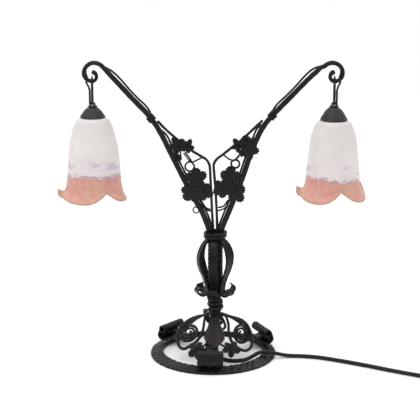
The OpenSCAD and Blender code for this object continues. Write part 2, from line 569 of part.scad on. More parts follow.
base_ring();
front_leg();
left_leg();
right_leg();
foot_rivets();
stem_tube();
stem_lock_nut();
cable_bush();
rope_collar();
twisted_core();
left_base_scroll();
right_base_scroll();
back_base_scroll();
front_leg_leaf();
base_leaves();
cage_bar_front();
cage_bar_right_front();
cage_bar_right_back();
cage_bar_back();
cage_bar_left_back();
cage_bar_left_front();
top_collar();
left_arm();
right_arm();
left_inner_rod();
right_inner_rod();
left_arm_clip();
right_arm_clip();
left_leaves();
right_leaves();
left_tendrils();
right_tendrils();
left_arm_lead();
right_arm_lead();
left_link();
left_drop_lead();
right_link();
right_drop_lead();
left_cap();
left_holder();
left_shade_ring();
left_shade();
left_bulb_glass();
left_bulb_base();
right_cap();
right_holder();
right_shade_ring();
right_shade();
right_bulb_glass();
right_bulb_base();
cord_run();
cord_mid();
cord_coil();
cord_tail();
cord_tie();
switch_lower_case();
switch_upper_case();
switch_rocker();
plug_body();
plug_pins();
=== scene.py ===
import math
import bpy
import numpy as np
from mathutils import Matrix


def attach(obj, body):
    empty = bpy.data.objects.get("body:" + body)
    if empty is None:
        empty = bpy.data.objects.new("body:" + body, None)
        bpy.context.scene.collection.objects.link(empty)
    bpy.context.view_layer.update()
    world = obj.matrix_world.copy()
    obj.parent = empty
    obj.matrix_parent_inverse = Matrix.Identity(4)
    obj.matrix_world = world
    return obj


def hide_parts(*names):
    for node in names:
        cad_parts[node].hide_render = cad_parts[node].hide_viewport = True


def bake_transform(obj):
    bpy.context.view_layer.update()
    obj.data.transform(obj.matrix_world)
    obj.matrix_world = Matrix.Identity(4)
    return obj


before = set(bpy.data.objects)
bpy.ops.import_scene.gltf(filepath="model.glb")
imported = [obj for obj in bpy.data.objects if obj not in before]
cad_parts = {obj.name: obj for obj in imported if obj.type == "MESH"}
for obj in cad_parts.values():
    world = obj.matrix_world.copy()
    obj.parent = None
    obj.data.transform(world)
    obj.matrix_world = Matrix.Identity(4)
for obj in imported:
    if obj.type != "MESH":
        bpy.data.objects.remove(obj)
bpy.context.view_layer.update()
scene = bpy.context.scene

# ---------------------------------------------------------------- camera and light
cam_data = bpy.data.cameras.new("camera")
cam_data.sensor_fit = 'HORIZONTAL'
cam_data.sensor_width = 36
cam_data.lens = 1194.0 * 36 / 420
cam_data.clip_end = 60
cam = bpy.data.objects.new("camera", cam_data)
cam.location = (-0.00505, -1.812, 0.660)
cam.rotation_euler = (math.radians(90 - 13.2), 0, 0)
scene.collection.objects.link(cam)
scene.camera = cam
scene.view_settings.view_transform = 'Standard'

world = bpy.data.worlds.new("studio")
scene.world = world
world.use_nodes = True
wn = world.node_tree.nodes["Background"]
wn.inputs["Color"].default_value = (1.0, 1.0, 1.0, 1)
wn.inputs["Strength"].default_value = 1.0


def world_math(op, a, b):
    m = world.node_tree.nodes.new("ShaderNodeMath")
    m.operation = op
    for k, x in enumerate((a, b)):
        if isinstance(x, (int, float)):
            m.inputs[k].default_value = x
        else:
            world.node_tree.links.new(x, m.inputs[k])
    return m.outputs["Value"]


# a soft studio: brightest overhead, dimmer at the sides and dimmest behind the viewer
wtc = world.node_tree.nodes.new("ShaderNodeTexCoord")
wsep = world.node_tree.nodes.new("ShaderNodeSeparateXYZ")
world.node_tree.links.new(wtc.outputs["Generated"], wsep.inputs["Vector"])
w_up = world_math('MAXIMUM', wsep.outputs["Z"], 0.0)
w_side = world_math('ADD', world_math('MULTIPLY', wsep.outputs["Y"], 0.20), 0.35)
w_tot = world_math('ADD', world_math('MULTIPLY', w_up, 1.22), w_side)
world.node_tree.links.new(w_tot, wn.inputs["Strength"])


def area(name, loc, aim, size, power):
    d = bpy.data.lights.new(name, 'AREA')
    d.shape = 'DISK'
    d.size = size
    d.energy = power
    o = bpy.data.objects.new(name, d)
    o.location = loc
    v = np.array(aim, float) - np.array(loc, float)
    from mathutils import Vector
    o.rotation_euler = Vector(v).to_track_quat('-Z', 'Y').to_euler()
    scene.collection.objects.link(o)
    return o


area("top_light", (-0.4, -0.3, 2.2), (0, 0, 0.2), 1.6, 10)
area("left_light", (-2.0, -1.1, 1.2), (0, 0, 0.25), 1.2, 7)
area("right_light", (2.0, -0.9, 1.1), (0, 0, 0.25), 1.2, 4)
area("front_light", (0.3, -2.6, 1.3), (0, 0, 0.2), 1.4, 2.5)


# ---------------------------------------------------------------- numbers and noise
def A(p):
    return np.array(p, float)


def norm(v):
    return v / np.maximum(np.linalg.norm(v, axis=-1, keepdims=True), 1e-9)


def spline(P, n):
    """Catmull-Rom curve through P, n steps a span."""
    P = A(P)
    m = len(P) - 1
    out = []
    t = (np.arange(n) / n)[:, None]
    for i in range(m):
        a, b, c, d = P[max(i - 1, 0)], P[i], P[i + 1], P[min(i + 2, m)]
        out.append(0.5 * (2 * b + (c - a) * t + (2 * a - 5 * b + 4 * c - d) * t * t + (3 * b - a - 3 * c + d) * t ** 3))
    out.append(P[m:])
    return np.concatenate(out)


def arclen(P):
    return np.concatenate([[0], np.cumsum(np.linalg.norm(np.diff(P, axis=0), axis=1))])


def resample(P, step):
    P = A(P)
    s = arclen(P)
    n = max(int(round(s[-1] / step)), 2)
    q = np.linspace(0, s[-1], n + 1)
    return np.stack([np.interp(q, s, P[:, k]) for k in range(P.shape[1])], 1)


def curve(P, step, n=12):
    return resample(spline(P, n), step)


def hash01(i, j, k, seed):
    h = (i.astype(np.int64) * 73856093) ^ (j.astype(np.int64) * 19349663) ^ (k.astype(np.int64) * 83492791) ^ np.int64(seed * 2654435761 % (1 << 31))
    h &= 0xffffffff
    h = (h ^ (h >> 13)) * 0x5bd1e995 & 0xffffffff
    h = (h ^ (h >> 15)) * 0x27d4eb2d & 0xffffffff
    h ^= h >> 16
    return (h & 0xffffff) / float(0xffffff)


def noise(p, size, seed=1):
    """Smooth value noise, -1 to 1, features about size mm."""
    q = p / size
    b = np.floor(q)
    f = q - b
    f = f * f * (3 - 2 * f)
    b = b.astype(np.int64)
    out = 0
    for dx in (0, 1):
        for dy in (0, 1):
            for dz in (0, 1):
                w = (f[:, 0] if dx else 1 - f[:, 0]) * (f[:, 1] if dy else 1 - f[:, 1]) * (f[:, 2] if dz else 1 - f[:, 2])
                out = out + w * hash01(b[:, 0] + dx, b[:, 1] + dy, b[:, 2] + dz, seed)
    return out * 2 - 1


def dents(p, cell, seed=1):
    """Round hammer marks: 0 outside a mark, 1 at its middle."""
    q = p / cell
    b = np.floor(q).astype(np.int64)
    best = np.full(len(q), 9.0)
    for dx in (-1, 0, 1):
        for dy in (-1, 0, 1):
            for dz in (-1, 0, 1):
                c = b + np.array([dx, dy, dz])
                o = np.stack([hash01(c[:, 0], c[:, 1], c[:, 2], seed + 11 * k) for k in range(3)], 1)
                d = ((c + o - q) ** 2).sum(1)
                best = np.minimum(best, d)
    return np.clip(1 - best / 0.55, 0, 1)


# ---------------------------------------------------------------- mesh building
class Geo:
    """Gathers closed parts, in millimetres."""

    def __init__(self):
        self.v, self.q, self.t, self.n = [], [], [], 0
        self.attr = {}

    def add(self, v, q, t=None, closed=True, **attr):
        v = A(v).reshape(-1, 3)
        q = np.array(q, np.int64).reshape(-1, 4)
        t = np.array([] if t is None else t, np.int64).reshape(-1, 3)
        if closed:
            tri = np.concatenate([q[:, [0, 1, 2]], q[:, [0, 2, 3]], t])
            c = v.mean(0)
            a, b, d = v[tri[:, 0]] - c, v[tri[:, 1]] - c, v[tri[:, 2]] - c
            if (a * np.cross(b, d)).sum() < 0:
                q, t = q[:, ::-1], t[:, ::-1]
        self.v.append(v)
        self.q.append(q + self.n)
        self.t.append(t + self.n)
        for k, x in attr.items():
            self.attr.setdefault(k, []).append((self.n, np.broadcast_to(A(x), (len(v),))))
        self.n += len(v)
        return self

    def get(self):
        return np.concatenate(self.v), np.concatenate(self.q), np.concatenate(self.t)


def normals(v, q, t):
    tri = np.concatenate([q[:, [0, 1, 2]], q[:, [0, 2, 3]], t])
    a, b, c = v[tri[:, 0]], v[tri[:, 1]], v[tri[:, 2]]
    n = np.cross(b - a, c - a)
    out = np.zeros_like(v)
    for k in range(3):
        w = np.concatenate([n[:, k]] * 3)
        out[:, k] = np.bincount(np.concatenate([tri[:, 0], tri[:, 1], tri[:, 2]]), w, len(v))
    return norm(out)


def forge(g, dent=0.3, cell=5.5, wave=0.25, wave_size=9.0, grain=0.05, seed=1):
    """Hammer marks, slow waviness and a fine scale, pushed along the surface's normals."""
    v, q, t = g.get()
    n = normals(v, q, t)
    d = -dent * dents(v, cell, seed) + wave * noise(v, wave_size, seed + 3) + grain * noise(v, 1.3, seed + 7)
    g.v, g.q, g.t = [v + n * d[:, None]], [q], [t]
    return g


MATS = {}


def make(name, g, body, mat, replaces=(), floor=False):
    v, q, t = g.get()
    if floor:
        v[:, 2] = np.maximum(v[:, 2], 0.0)
    m = bpy.data.meshes.new(name)
    m.vertices.add(len(v))
    m.vertices.foreach_set("co", (v / 1000).astype(np.float32).ravel())
    loops = np.concatenate([q.ravel(), t.ravel()])
    m.loops.add(len(loops))
    m.loops.foreach_set("vertex_index", loops.astype(np.int32))
    starts = np.concatenate([np.arange(len(q)) * 4, len(q) * 4 + np.arange(len(t)) * 3])
    m.polygons.add(len(starts))
    m.polygons.foreach_set("loop_start", starts.astype(np.int32))
    m.polygons.foreach_set("use_smooth", np.ones(len(starts), bool))
    m.update(calc_edges=True)
    m.validate()
    for k, parts in g.attr.items():
        x = np.zeros(len(v), np.float32)
        for at, val in parts:
            x[at:at + len(val)] = val
        m.attributes.new(k, 'FLOAT', 'POINT').data.foreach_set("value", x)
    o = bpy.data.objects.new(name, m)
    scene.collection.objects.link(o)
    m.materials.append(MATS[mat] if isinstance(mat, str) else mat)
    if body:
        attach(o, body)
    if replaces:
        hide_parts(*([replaces] if isinstance(replaces, str) else replaces))
    return o


def frames(P, up=(0, 1, 0), fixed=False, closed=False):
    P = A(P)
    if closed:
        T = norm(np.roll(P, -1, 0) - np.roll(P, 1, 0))
    else:
        T = norm(np.gradient(P, axis=0))
    up = A(up)
    if fixed or up.ndim == 2:
        U = norm(up - (T * up).sum(1, keepdims=True) * T) if up.ndim == 2 else norm(up[None] - (T @ up)[:, None] * T)
    else:
        U = np.zeros_like(P)
        u = up
        for i in range(len(P)):
            u = u - (u @ T[i]) * T[i]
            u = u / max(np.linalg.norm(u), 1e-9)
            U[i] = u
    return T, U, np.cross(T, U)


def grid_faces(n, k, close_rows=False, close_cols=True, base=0):
    i = np.arange(n if close_rows else n - 1)[:, None]
    j = np.arange(k if close_cols else k - 1)[None]
    a = i * k + j
    b = i * k + (j + 1) % k
    c = ((i + 1) % n) * k + (j + 1) % k
    d = ((i + 1) % n) * k + j
    return np.stack([a, b, c, d], -1).reshape(-1, 4) + base


def sweep(P, X, Y, up=(0, 1, 0), fixed=False, closed=False, dome=(1.0, 1.0), nd=4, fr=None):
    """Sweeps a section (X along the first normal, Y along the second) along P; the ends are domed."""
    P = A(P)
    T, U, V = fr if fr is not None else frames(P, up, fixed, closed)
    n = len(P)
    X = np.broadcast_to(A(X), (n, np.shape(X)[-1]))
    Y = np.broadcast_to(A(Y), (n, np.shape(Y)[-1]))
    k = X.shape[1]
    R = P[:, None] + X[..., None] * U[:, None] + Y[..., None] * V[:, None]
    if closed:
        return R.reshape(-1, 3), grid_faces(n, k, close_rows=True), None
    rings = []
    if dome[0] is not None:
        for a in range(nd, 0, -1):
            th = a / (nd + 0.35) * math.pi / 2
            rings.append(P[0] + (R[0] - P[0]) * math.cos(th) - T[0] * dome[0] * math.sin(th))
    rings += list(R)
    if dome[1] is not None:
        for a in range(1, nd + 1):
            th = a / (nd + 0.35) * math.pi / 2
            rings.append(P[-1] + (R[-1] - P[-1]) * math.cos(th) + T[-1] * dome[1] * math.sin(th))
    v = np.concatenate([np.array(rings).reshape(-1, 3), [P[0] - T[0] * (dome[0] or 0)], [P[-1] + T[-1] * (dome[1] or 0)]])
    nr = len(rings)
    q = grid_faces(nr, k)
    s, e = nr * k, nr * k + 1
    j = np.arange(k)
    t = np.concatenate([np.stack([np.full(k, s), (j + 1) % k, j], 1), np.stack([np.full(k, e), (nr - 1) * k + j, (nr - 1) * k + (j + 1) % k], 1)])
    return v, q, t


def circle(n=14):
    a = np.arange(n) / n * 2 * math.pi
    return np.cos(a), np.sin(a)


def wire(g, P, r, n=12, up=(0, 1, 0), step=1.4, raw=False, dome=True):
    """A round wire along P; r is a number or one value for each of P's ends."""
    Q = A(P) if raw else curve(P, step)
    f = np.linspace(0, 1, len(Q))[:, None]
    rr = r if np.isscalar(r) else np.interp(f[:, 0], np.linspace(0, 1, len(r)), r)[:, None]
    c, s = circle(n)
    d = (rr if np.isscalar(rr) else float(rr[0, 0])) * 0.9
    e = (rr if np.isscalar(rr) else float(rr[-1, 0])) * 0.9
    v, q, t = sweep(Q, rr * c[None], rr * s[None], up, dome=(d, e), nd=3)
    g.add(v, q, t)
    return g


def rrect(na, nb, nc):
    """Numbers of a rounded rectangle's outline: x = (a-r)*tx + r*cx, y = (b-r)*ty + r*cy."""
    o = []
    for k in range(nb):
        o.append((1, -1 + 2 * k / nb, 1, 0))
    for k in range(nc):
        w = math.pi / 2 * k / nc
        o.append((1, 1, math.cos(w), math.sin(w)))
    for k in range(na):
        o.append((1 - 2 * k / na, 1, 0, 1))
    for k in range(nc):
        w = math.pi / 2 * (1 + k / nc)
        o.append((-1, 1, math.cos(w), math.sin(w)))
    for k in range(nb):
        o.append((-1, 1 - 2 * k / nb, -1, 0))
    for k in range(nc):
        w = math.pi / 2 * (2 + k / nc)
        o.append((-1, -1, math.cos(w), math.sin(w)))
    for k in range(na):
        o.append((-1 + 2 * k / na, -1, 0, -1))
    for k in range(nc):
        w = math.pi / 2 * (3 + k / nc)
        o.append((1, -1, math.cos(w), math.sin(w)))
    return np.array(o, float).T


def bar(g, P, a, b, r, up, na=6, nb=4, nc=3, fixed=True, dome=None, closed=False, push=None):
    """A bar of rounded rectangular section: a half size along up, b half size across."""
    n = len(P)
    a, b, r = [np.broadcast_to(A(x), (n,))[:, None] for x in (a, b, r)]
    tx, ty, cx, cy = rrect(na, nb, nc)
    X = (a - r) * tx + r * cx
    Y = (b - r) * ty + r * cy
    if push is not None:
        X, Y = push(X, Y, tx, ty)
    dome = dome or (float(b[0, 0]) * 0.5, float(b[-1, 0]) * 0.5)
    v, q, t = sweep(P, X, Y, up, fixed, closed, dome=dome, nd=3)
    g.add(v, q, t)
    return g


def lathe(g, prof, c=(0, 0), n=64, closed=True, step=None):
    """Turns a closed or pole-to-pole outline [r, z] about the vertical through c."""
    p = A(prof)
    if step:
        p = resample(np.concatenate([p, p[:1]]) if closed else p, step)
        if closed:
            p = p[:-1]
    a = np.arange(n) / n * 2 * math.pi
    v = np.stack([c[0] + p[:, 0, None] * np.cos(a), c[1] + p[:, 0, None] * np.sin(a), np.repeat(p[:, 1, None], n, 1)], -1)
    if closed:
        g.add(v.reshape(-1, 3), grid_faces(len(p), n, close_rows=True))
        return g
    # open outline that starts and ends on the axis
    body = v[1:-1].reshape(-1, 3)
    q = grid_faces(len(p) - 2, n)
    vv = np.concatenate([body, [[c[0], c[1], p[0, 1]]], [[c[0], c[1], p[-1, 1]]]])
    s, e = len(body), len(body) + 1
    j = np.arange(n)
    last = (len(p) - 3) * n
    t = np.concatenate([np.stack([np.full(n, s), (j + 1) % n, j], 1), np.stack([np.full(n, e), last + j, last + (j + 1) % n], 1)])
    g.add(vv, q, t)
    return g


def rot(ax, deg):
    c, s = math.cos(math.radians(deg)), math.sin(math.radians(deg))
    return A({'x': [[1, 0, 0], [0, c, -s], [0, s, c]], 'y': [[c, 0, s], [0, 1, 0], [-s, 0, c]], 'z': [[c, -s, 0], [s, c, 0], [0, 0, 1]]}[ax])


# ---------------------------------------------------------------- materials
def nodes_of(name):
    m = bpy.data.materials.new(name)
    m.use_nodes = True
    nt = m.node_tree
    return m, nt, nt.nodes["Principled BSDF"]


def tex_noise(nt, vec, scale, detail=3.0, rough=0.55, dist=0.0):
    n = nt.nodes.new("ShaderNodeTexNoise")
    n.inputs["Scale"].default_value = scale
    n.inputs["Detail"].default_value = detail
    n.inputs["Roughness"].default_value = rough
    n.inputs["Distortion"].default_value = dist
    nt.links.new(vec, n.inputs["Vector"])
    return n.outputs["Fac"]


def coords(nt, scale=(1, 1, 1), loc=(0, 0, 0)):
    tc = nt.nodes.new("ShaderNodeTexCoord")
    mp = nt.nodes.new("ShaderNodeMapping")
    mp.inputs["Scale"].default_value = scale
    mp.inputs["Location"].default_value = loc
    nt.links.new(tc.outputs["Object"], mp.inputs["Vector"])
    return mp.outputs["Vector"]


def ramp(nt, fac, stops):
    r = nt.nodes.new("ShaderNodeValToRGB")
    e = r.color_ramp.elements
    while len(e) < len(stops):
        e.new(0.5)
    for el, (p, c) in zip(e, stops):
        el.position = p
        el.color = (*c, 1) if len(c) == 3 else c
    nt.links.new(fac, r.inputs["Fac"])
    return r.outputs["Color"]


def fit(nt, fac, lo, hi, a=0.0, b=1.0, smooth=False):
    m = nt.nodes.new("ShaderNodeMapRange")
    if smooth:
        m.interpolation_type = 'SMOOTHSTEP'
    m.inputs["From Min"].default_value = a
    m.inputs["From Max"].default_value = b
    m.inputs["To Min"].default_value = lo
    m.inputs["To Max"].default_value = hi
    nt.links.new(fac, m.inputs["Value"])
    return m.outputs["Result"]


def math_(nt, op, a, b=None):
    m = nt.nodes.new("ShaderNodeMath")
    m.operation = op
    for k, x in enumerate((a, b)):
        if x is None:
            continue
        if isinstance(x, (int, float)):
            m.inputs[k].default_value = x
        else:
            nt.links.new(x, m.inputs[k])
    return m.outputs["Value"]


def mixc(nt, fac, a, b, kind='MIX'):
    m = nt.nodes.new("ShaderNodeMix")
    m.data_type = 'RGBA'
    m.blend_type = kind
    if isinstance(fac, (int, float)):
        m.inputs["Factor"].default_value = fac
    else:
        nt.links.new(fac, m.inputs["Factor"])
    for key, x in (("A", a), ("B", b)):
        sock = [s for s in m.inputs if s.name == key and s.type == 'RGBA'][0]
        if isinstance(x, tuple):
            sock.default_value = (*x, 1)
        else:
            nt.links.new(x, sock)
    return [s for s in m.outputs if s.type == 'RGBA'][0]


def bump(nt, bsdf, height, dist, strength=1.0):
    b = nt.nodes.new("ShaderNodeBump")
    b.inputs["Strength"].default_value = strength
    b.inputs["Distance"].default_value = dist
    nt.links.new(height, b.inputs["Height"])
    nt.links.new(b.outputs["Normal"], bsdf.inputs["Normal"])
    return b


def iron_mat(name, dark, light, patch=None, rough=(0.40, 0.62), grain=0.00025, worn=0.5, spec=0.5):
    m, nt, b = nodes_of(name)
    v = coords(nt)
    big = tex_noise(nt, v, 45, 4)
    mid = tex_noise(nt, v, 240, 5, 0.6)
    fine = tex_noise(nt, v, 1100, 3, 0.7)
    col = ramp(nt, mid, [(0.34, dark), (0.66, light)])
    if patch:
        col = mixc(nt, fit(nt, big, 0, 0.75, 0.45, 0.68), col, patch)
    # painted highlight: convex edges, found by pointiness, are mixed brighter as if catching light
    geo = nt.nodes.new("ShaderNodeNewGeometry")
    edge = fit(nt, geo.outputs["Pointiness"], 0, worn, 0.52, 0.60)
    edge_highlight = math_(nt, 'MULTIPLY', edge, fit(nt, mid, 0.3, 1, 0.4, 0.6))
    col = mixc(nt, edge_highlight, col, (light[0] * 5.0, light[1] * 4.9, light[2] * 4.8))
    nt.links.new(col, b.inputs["Base Color"])
    nt.links.new(fit(nt, mid, rough[0], rough[1], 0.35, 0.65), b.inputs["Roughness"])
    b.inputs["Metallic"].default_value = 0.0
    b.inputs["Specular IOR Level"].default_value = spec
    h = math_(nt, 'ADD', math_(nt, 'MULTIPLY', mid, 0.8), math_(nt, 'MULTIPLY', fine, 0.35))
    bump(nt, b, h, grain)
    MATS[name] = m
    return m


def plain_mat(name, c0, c1, rough, scale=300, grain=0.00006, metallic=0.0, spec=0.5, coat=0.0):
    m, nt, b = nodes_of(name)
    v = coords(nt)
    n1 = tex_noise(nt, v, scale, 4)
    n2 = tex_noise(nt, v, scale * 5, 2)
    nt.links.new(ramp(nt, n1, [(0.35, c0), (0.65, c1)]), b.inputs["Base Color"])
    nt.links.new(fit(nt, n1, rough[0], rough[1], 0.35, 0.65), b.inputs["Roughness"])
    b.inputs["Metallic"].default_value = metallic
    b.inputs["Specular IOR Level"].default_value = spec
    b.inputs["Coat Weight"].default_value = coat
    bump(nt, b, n2, grain)
    MATS[name] = m
    return m


iron_mat("black_iron_mat", (0.0014, 0.0013, 0.0012), (0.0072, 0.0067, 0.0062), patch=(0.0078, 0.0064, 0.0052), spec=0.24, rough=(0.27, 0.54))
iron_mat("cage_iron_mat", (0.0014, 0.0013, 0.0012), (0.0068, 0.0062, 0.0058), patch=(0.0110, 0.0082, 0.0066), rough=(0.25, 0.50), spec=0.19)
iron_mat("brown_iron_mat", (0.0048, 0.0036, 0.0027), (0.0130, 0.0098, 0.0076), patch=(0.0190, 0.0136, 0.0102), rough=(0.42, 0.66), spec=0.26)
iron_mat("cap_iron_mat", (0.0075, 0.0072, 0.0064), (0.0200, 0.0190, 0.0176), patch=(0.0150, 0.0134, 0.0110), rough=(0.34, 0.52), spec=0.36)
plain_mat("cable_mat", (0.0035, 0.0035, 0.0036), (0.0060, 0.0060, 0.0062), (0.45, 0.58), 500, spec=0.28)
plain_mat("rubber_mat", (0.008, 0.008, 0.008), (0.014, 0.014, 0.014), (0.6, 0.75), 400)
plain_mat("black_plastic_mat", (0.010, 0.010, 0.011), (0.016, 0.016, 0.017), (0.32, 0.45), 260)
plain_mat("rocker_mat", (0.030, 0.030, 0.031), (0.040, 0.040, 0.041), (0.28, 0.38), 260)
plain_mat("ivory_mat", (0.62, 0.56, 0.44), (0.70, 0.64, 0.52), (0.35, 0.5), 120)
plain_mat("nickel_mat", (0.52, 0.50, 0.47), (0.66, 0.64, 0.60), (0.18, 0.34), 400, 0.00003, 1.0)
plain_mat("brass_mat", (0.55, 0.40, 0.16), (0.70, 0.54, 0.25), (0.22, 0.38), 300, 0.00003, 1.0)
plain_mat("bulb_mat", (0.80, 0.79, 0.76), (0.88, 0.87, 0.84), (0.22, 0.32), 90, 0.00002)


def shade_mat(name, cx, zb, notch_drop, seed, blush_z, slant, z_top):
    """Frosted moulded glass: chalk white above, salmon towards the rim, thin mauve strokes where they meet."""
    m, nt, b = nodes_of(name)
    v = coords(nt, loc=(-cx + seed * 0.37, seed * 0.19, 0))
    flat = coords(nt, scale=(1, 1, 4.2), loc=(seed * 0.23 - cx, 0.11 * seed, 0.03))
    sep = nt.nodes.new("ShaderNodeSeparateXYZ")
    tc = nt.nodes.new("ShaderNodeTexCoord")
    nt.links.new(tc.outputs["Object"], sep.inputs["Vector"])
    z = sep.outputs["Z"]
    an = nt.nodes.new("ShaderNodeAttribute")
    an.attribute_name = "notch"
    notch = an.outputs["Fac"]
    ar = nt.nodes.new("ShaderNodeAttribute")
    ar.attribute_name = "rim_d"
    rim = ar.outputs["Fac"]
    slow = tex_noise(nt, v, 26, 2)
    wavy = tex_noise(nt, v, 85, 4, 0.6)
    # height of the colour change, wavy round the shade, lower in the notches
    bz = math_(nt, 'ADD', zb, fit(nt, slow, -0.0022, 0.0022, 0.3, 0.7))
    bz = math_(nt, 'ADD', bz, math_(nt, 'MULTIPLY', math_(nt, 'SUBTRACT', sep.outputs["X"], cx), slant))
    bz = math_(nt, 'ADD', bz, fit(nt, wavy, -0.0028, 0.0028, 0.3, 0.7))
    bz = math_(nt, 'SUBTRACT', bz, math_(nt, 'MULTIPLY', notch, notch_drop))
    h = math_(nt, 'SUBTRACT', z, bz)
    pink = fit(nt, h, 1, 0, -0.0034, 0.0028, True)
    blot = tex_noise(nt, v, 120, 5, 0.62)
    clouds = tex_noise(nt, v, 34, 3)
    white = mixc(nt, fit(nt, clouds, 0, 1, 0.4, 0.64), (0.715, 0.685, 0.668), (0.668, 0.630, 0.617))
    # a faint warm blush and a cooler veil low on the white part
    veil = math_(nt, 'MULTIPLY', fit(nt, z, 0, 1, blush_z, blush_z - 0.030, True), 0.55)
    white = mixc(nt, veil, white, (0.690, 0.610, 0.628))
    # painted shade: glass greyed close under the cap, where the cap shades it, and faint upright streaks
    white = mixc(nt, math_(nt, 'MULTIPLY', fit(nt, z, 0, 1, z_top - 0.040, z_top, True), 0.62), white, (0.560, 0.545, 0.530))
    streak = tex_noise(nt, coords(nt, scale=(1, 1, 0.10), loc=(seed * 0.41 - cx, 0.2, 0)), 190, 3)
    white = mixc(nt, fit(nt, streak, 0, 0.11, 0.52, 0.66), white, (0.56, 0.53, 0.55))
    salmon = mixc(nt, fit(nt, blot, 0, 1, 0.38, 0.64), (0.560, 0.262, 0.208), (0.620, 0.345, 0.288))
    salmon = mixc(nt, fit(nt, clouds, 0, 0.55, 0.5, 0.68), salmon, (0.590, 0.375, 0.268))
    col = mixc(nt, pink, white, salmon)
    # mauve strokes on the colour change
    stroke = tex_noise(nt, flat, 95, 3, 0.5, 0.6)
    band = math_(nt, 'MULTIPLY', fit(nt, h, 0, 1, -0.0055, -0.0008, True), fit(nt, h, 1, 0, 0.0005, 0.0052, True))
    s1 = math_(nt, 'MULTIPLY', band, fit(nt, stroke, 0, 1, 0.46, 0.57, True))
    col = mixc(nt, math_(nt, 'MULTIPLY', s1, 0.85), col, (0.40, 0.250, 0.320))
    # lilac cloud strokes higher up
    flat2 = coords(nt, scale=(1, 1, 3.0), loc=(0.5 + seed * 0.31 - cx, 0.29 * seed, 0.0))
    lil = tex_noise(nt, flat2, 34, 3, 0.5, 0.5)
    hz = math_(nt, 'SUBTRACT', h, fit(nt, slow, 0.011, 0.021, 0.3, 0.7))
    band2 = math_(nt, 'MULTIPLY', fit(nt, hz, 0, 1, -0.009, -0.001, True), fit(nt, hz, 1, 0, 0.0015, 0.0085, True))
    s2 = math_(nt, 'MULTIPLY', band2, fit(nt, lil, 0, 1, 0.50, 0.61, True))
    col = mixc(nt, math_(nt, 'MULTIPLY', s2, 0.75), col, (0.44, 0.395, 0.500))
    # thin grey-olive tint on the very edge
    col = mixc(nt, math_(nt, 'MULTIPLY', fit(nt, rim, 1, 0, 0.3, 2.6, True), 0.55), col, (0.34, 0.26, 0.185))
    nt.links.new(col, b.inputs["Base Color"])
    nt.links.new(fit(nt, blot, 0.34, 0.50, 0.35, 0.65), b.inputs["Roughness"])
    b.inputs["Specular IOR Level"].default_value = 0.45
    b.inputs["Subsurface Weight"].default_value = 0.22
    b.inputs["Subsurface Radius"].default_value = (0.006, 0.0045, 0.004)
    b.inputs["Subsurface Scale"].default_value = 1.0
    fine = tex_noise(nt, v, 420, 3, 0.6)
    bump(nt, b, math_(nt, 'ADD', math_(nt, 'MULTIPLY', fine, 0.5), blot), 0.00035)
    MATS[name] = m
    return m


shade_mat("left_glass_mat", -0.1845, 0.2940, 0.001, 1, 0.332, 0.0, 0.377)
shade_mat("right_glass_mat", 0.1845, 0.2890, 0.004, 2, 0.330, -0.10, 0.373)

fm, fnt, fb = nodes_of("floor_mat")
fv = coords(fnt)
fn_ = tex_noise(fnt, fv, 3.0, 2)
fnt.links.new(ramp(fnt, fn_, [(0.3, (0.855, 0.852, 0.847)), (0.7, (0.872, 0.870, 0.866))]), fb.inputs["Base Color"])
fb.inputs["Roughness"].default_value = 0.85
fb.inputs["Specular IOR Level"].default_value = 0.25
bump(fnt, fb, tex_noise(fnt, fv, 160, 3), 0.0004)
fmesh = bpy.data.meshes.new("studio_floor")
fmesh.from_pydata([(-16, -10, 0), (16, -10, 0), (16, 26, 0), (-16, 26, 0)], [], [(0, 1, 2, 3)])
fmesh.materials.append(fm)
floor_o = bpy.data.objects.new("studio_floor", fmesh)
floor_o.location = (0, 0, -0.0002)
scene.collection.objects.link(floor_o)

# ---------------------------------------------------------------- mains cord (route as in the CAD model)
SX = 3.2        # the stem stands this far right of the ring's middle
CORD_A = [(3.2, 0, 51), (3.2, 0, 42), (2.6, -0.4, 32), (1, -4, 20), (3, -12, 8.5), (6.5, -23, 3.6), (13, -34.5, 3.1),
          (23, -42.5, 3.1), (36, -45, 3.1), (52, -41, 4), (63, -36, 8), (71, -32.6, 11.4), (79, -30, 12.4), (89, -27.2, 10.6), (101, -24.6, 7.4),
          (113, -23.1, 4.4), (126, -22.5, 3.1), (142, -23.5, 3.1), (168, -30, 3.1), (200, -45, 3.1), (235, -64, 3.1),
          (270, -85, 3.1), (300, -102, 3.1), (322, -114.3, 4), (336.6, -122.3, 8)]
CORD_B = [(387.4, -150.5, 8), (397, -155.8, 5), (410, -162.8, 3.1), (421, -167.6, 3.1)]
CORD_C = [(476, -122, 8.9), (475, -110, 8), (474.2, -98, 7.2), (474, -88, 7)]
COIL_C = (440.5, -135)
legs_of_coil = [(285, 355, (36, 3.1), (30, 3.1)), (600, 670, (30, 3.1), (30, 9.2)), (915, 985, (30, 9.2), (30, 15.3)),
                (1230, 1300, (30, 15.3), (36, 15.3)), (1552, 1615, (36, 15.3), (36, 9.2))]


def coil_at(f):
    r, z = 36.0, 3.1
    for a, b, p, q in legs_of_coil:
        if f >= a:
            t = min((f - a) / (b - a), 1)
            t = (1 - math.cos(math.pi * t)) / 2
            r, z = p[0] + (q[0] - p[0]) * t, p[1] + (q[1] - p[1]) * t
    w = math.radians(-106.5 + f)
    return (COIL_C[0] + r * math.cos(w), COIL_C[1] + r * math.sin(w), z)


coil_pts = [coil_at(f) for f in np.arange(6, 1909.7, 11.9)]
cord_line = np.concatenate([curve(CORD_A, 2.2), curve([CORD_A[-1], CORD_B[0]], 2.2)[1:-1],
                            curve(CORD_B + coil_pts + CORD_C, 2.2)])
g = Geo()
wire(g, cord_line, 3.0, n=16, up=(0.4, 0.9, 0), raw=True)
cord = make("mains_cord", g, "frame", "cable_mat", ("cord_run", "cord_mid", "cord_coil", "cord_tail"), floor=True)

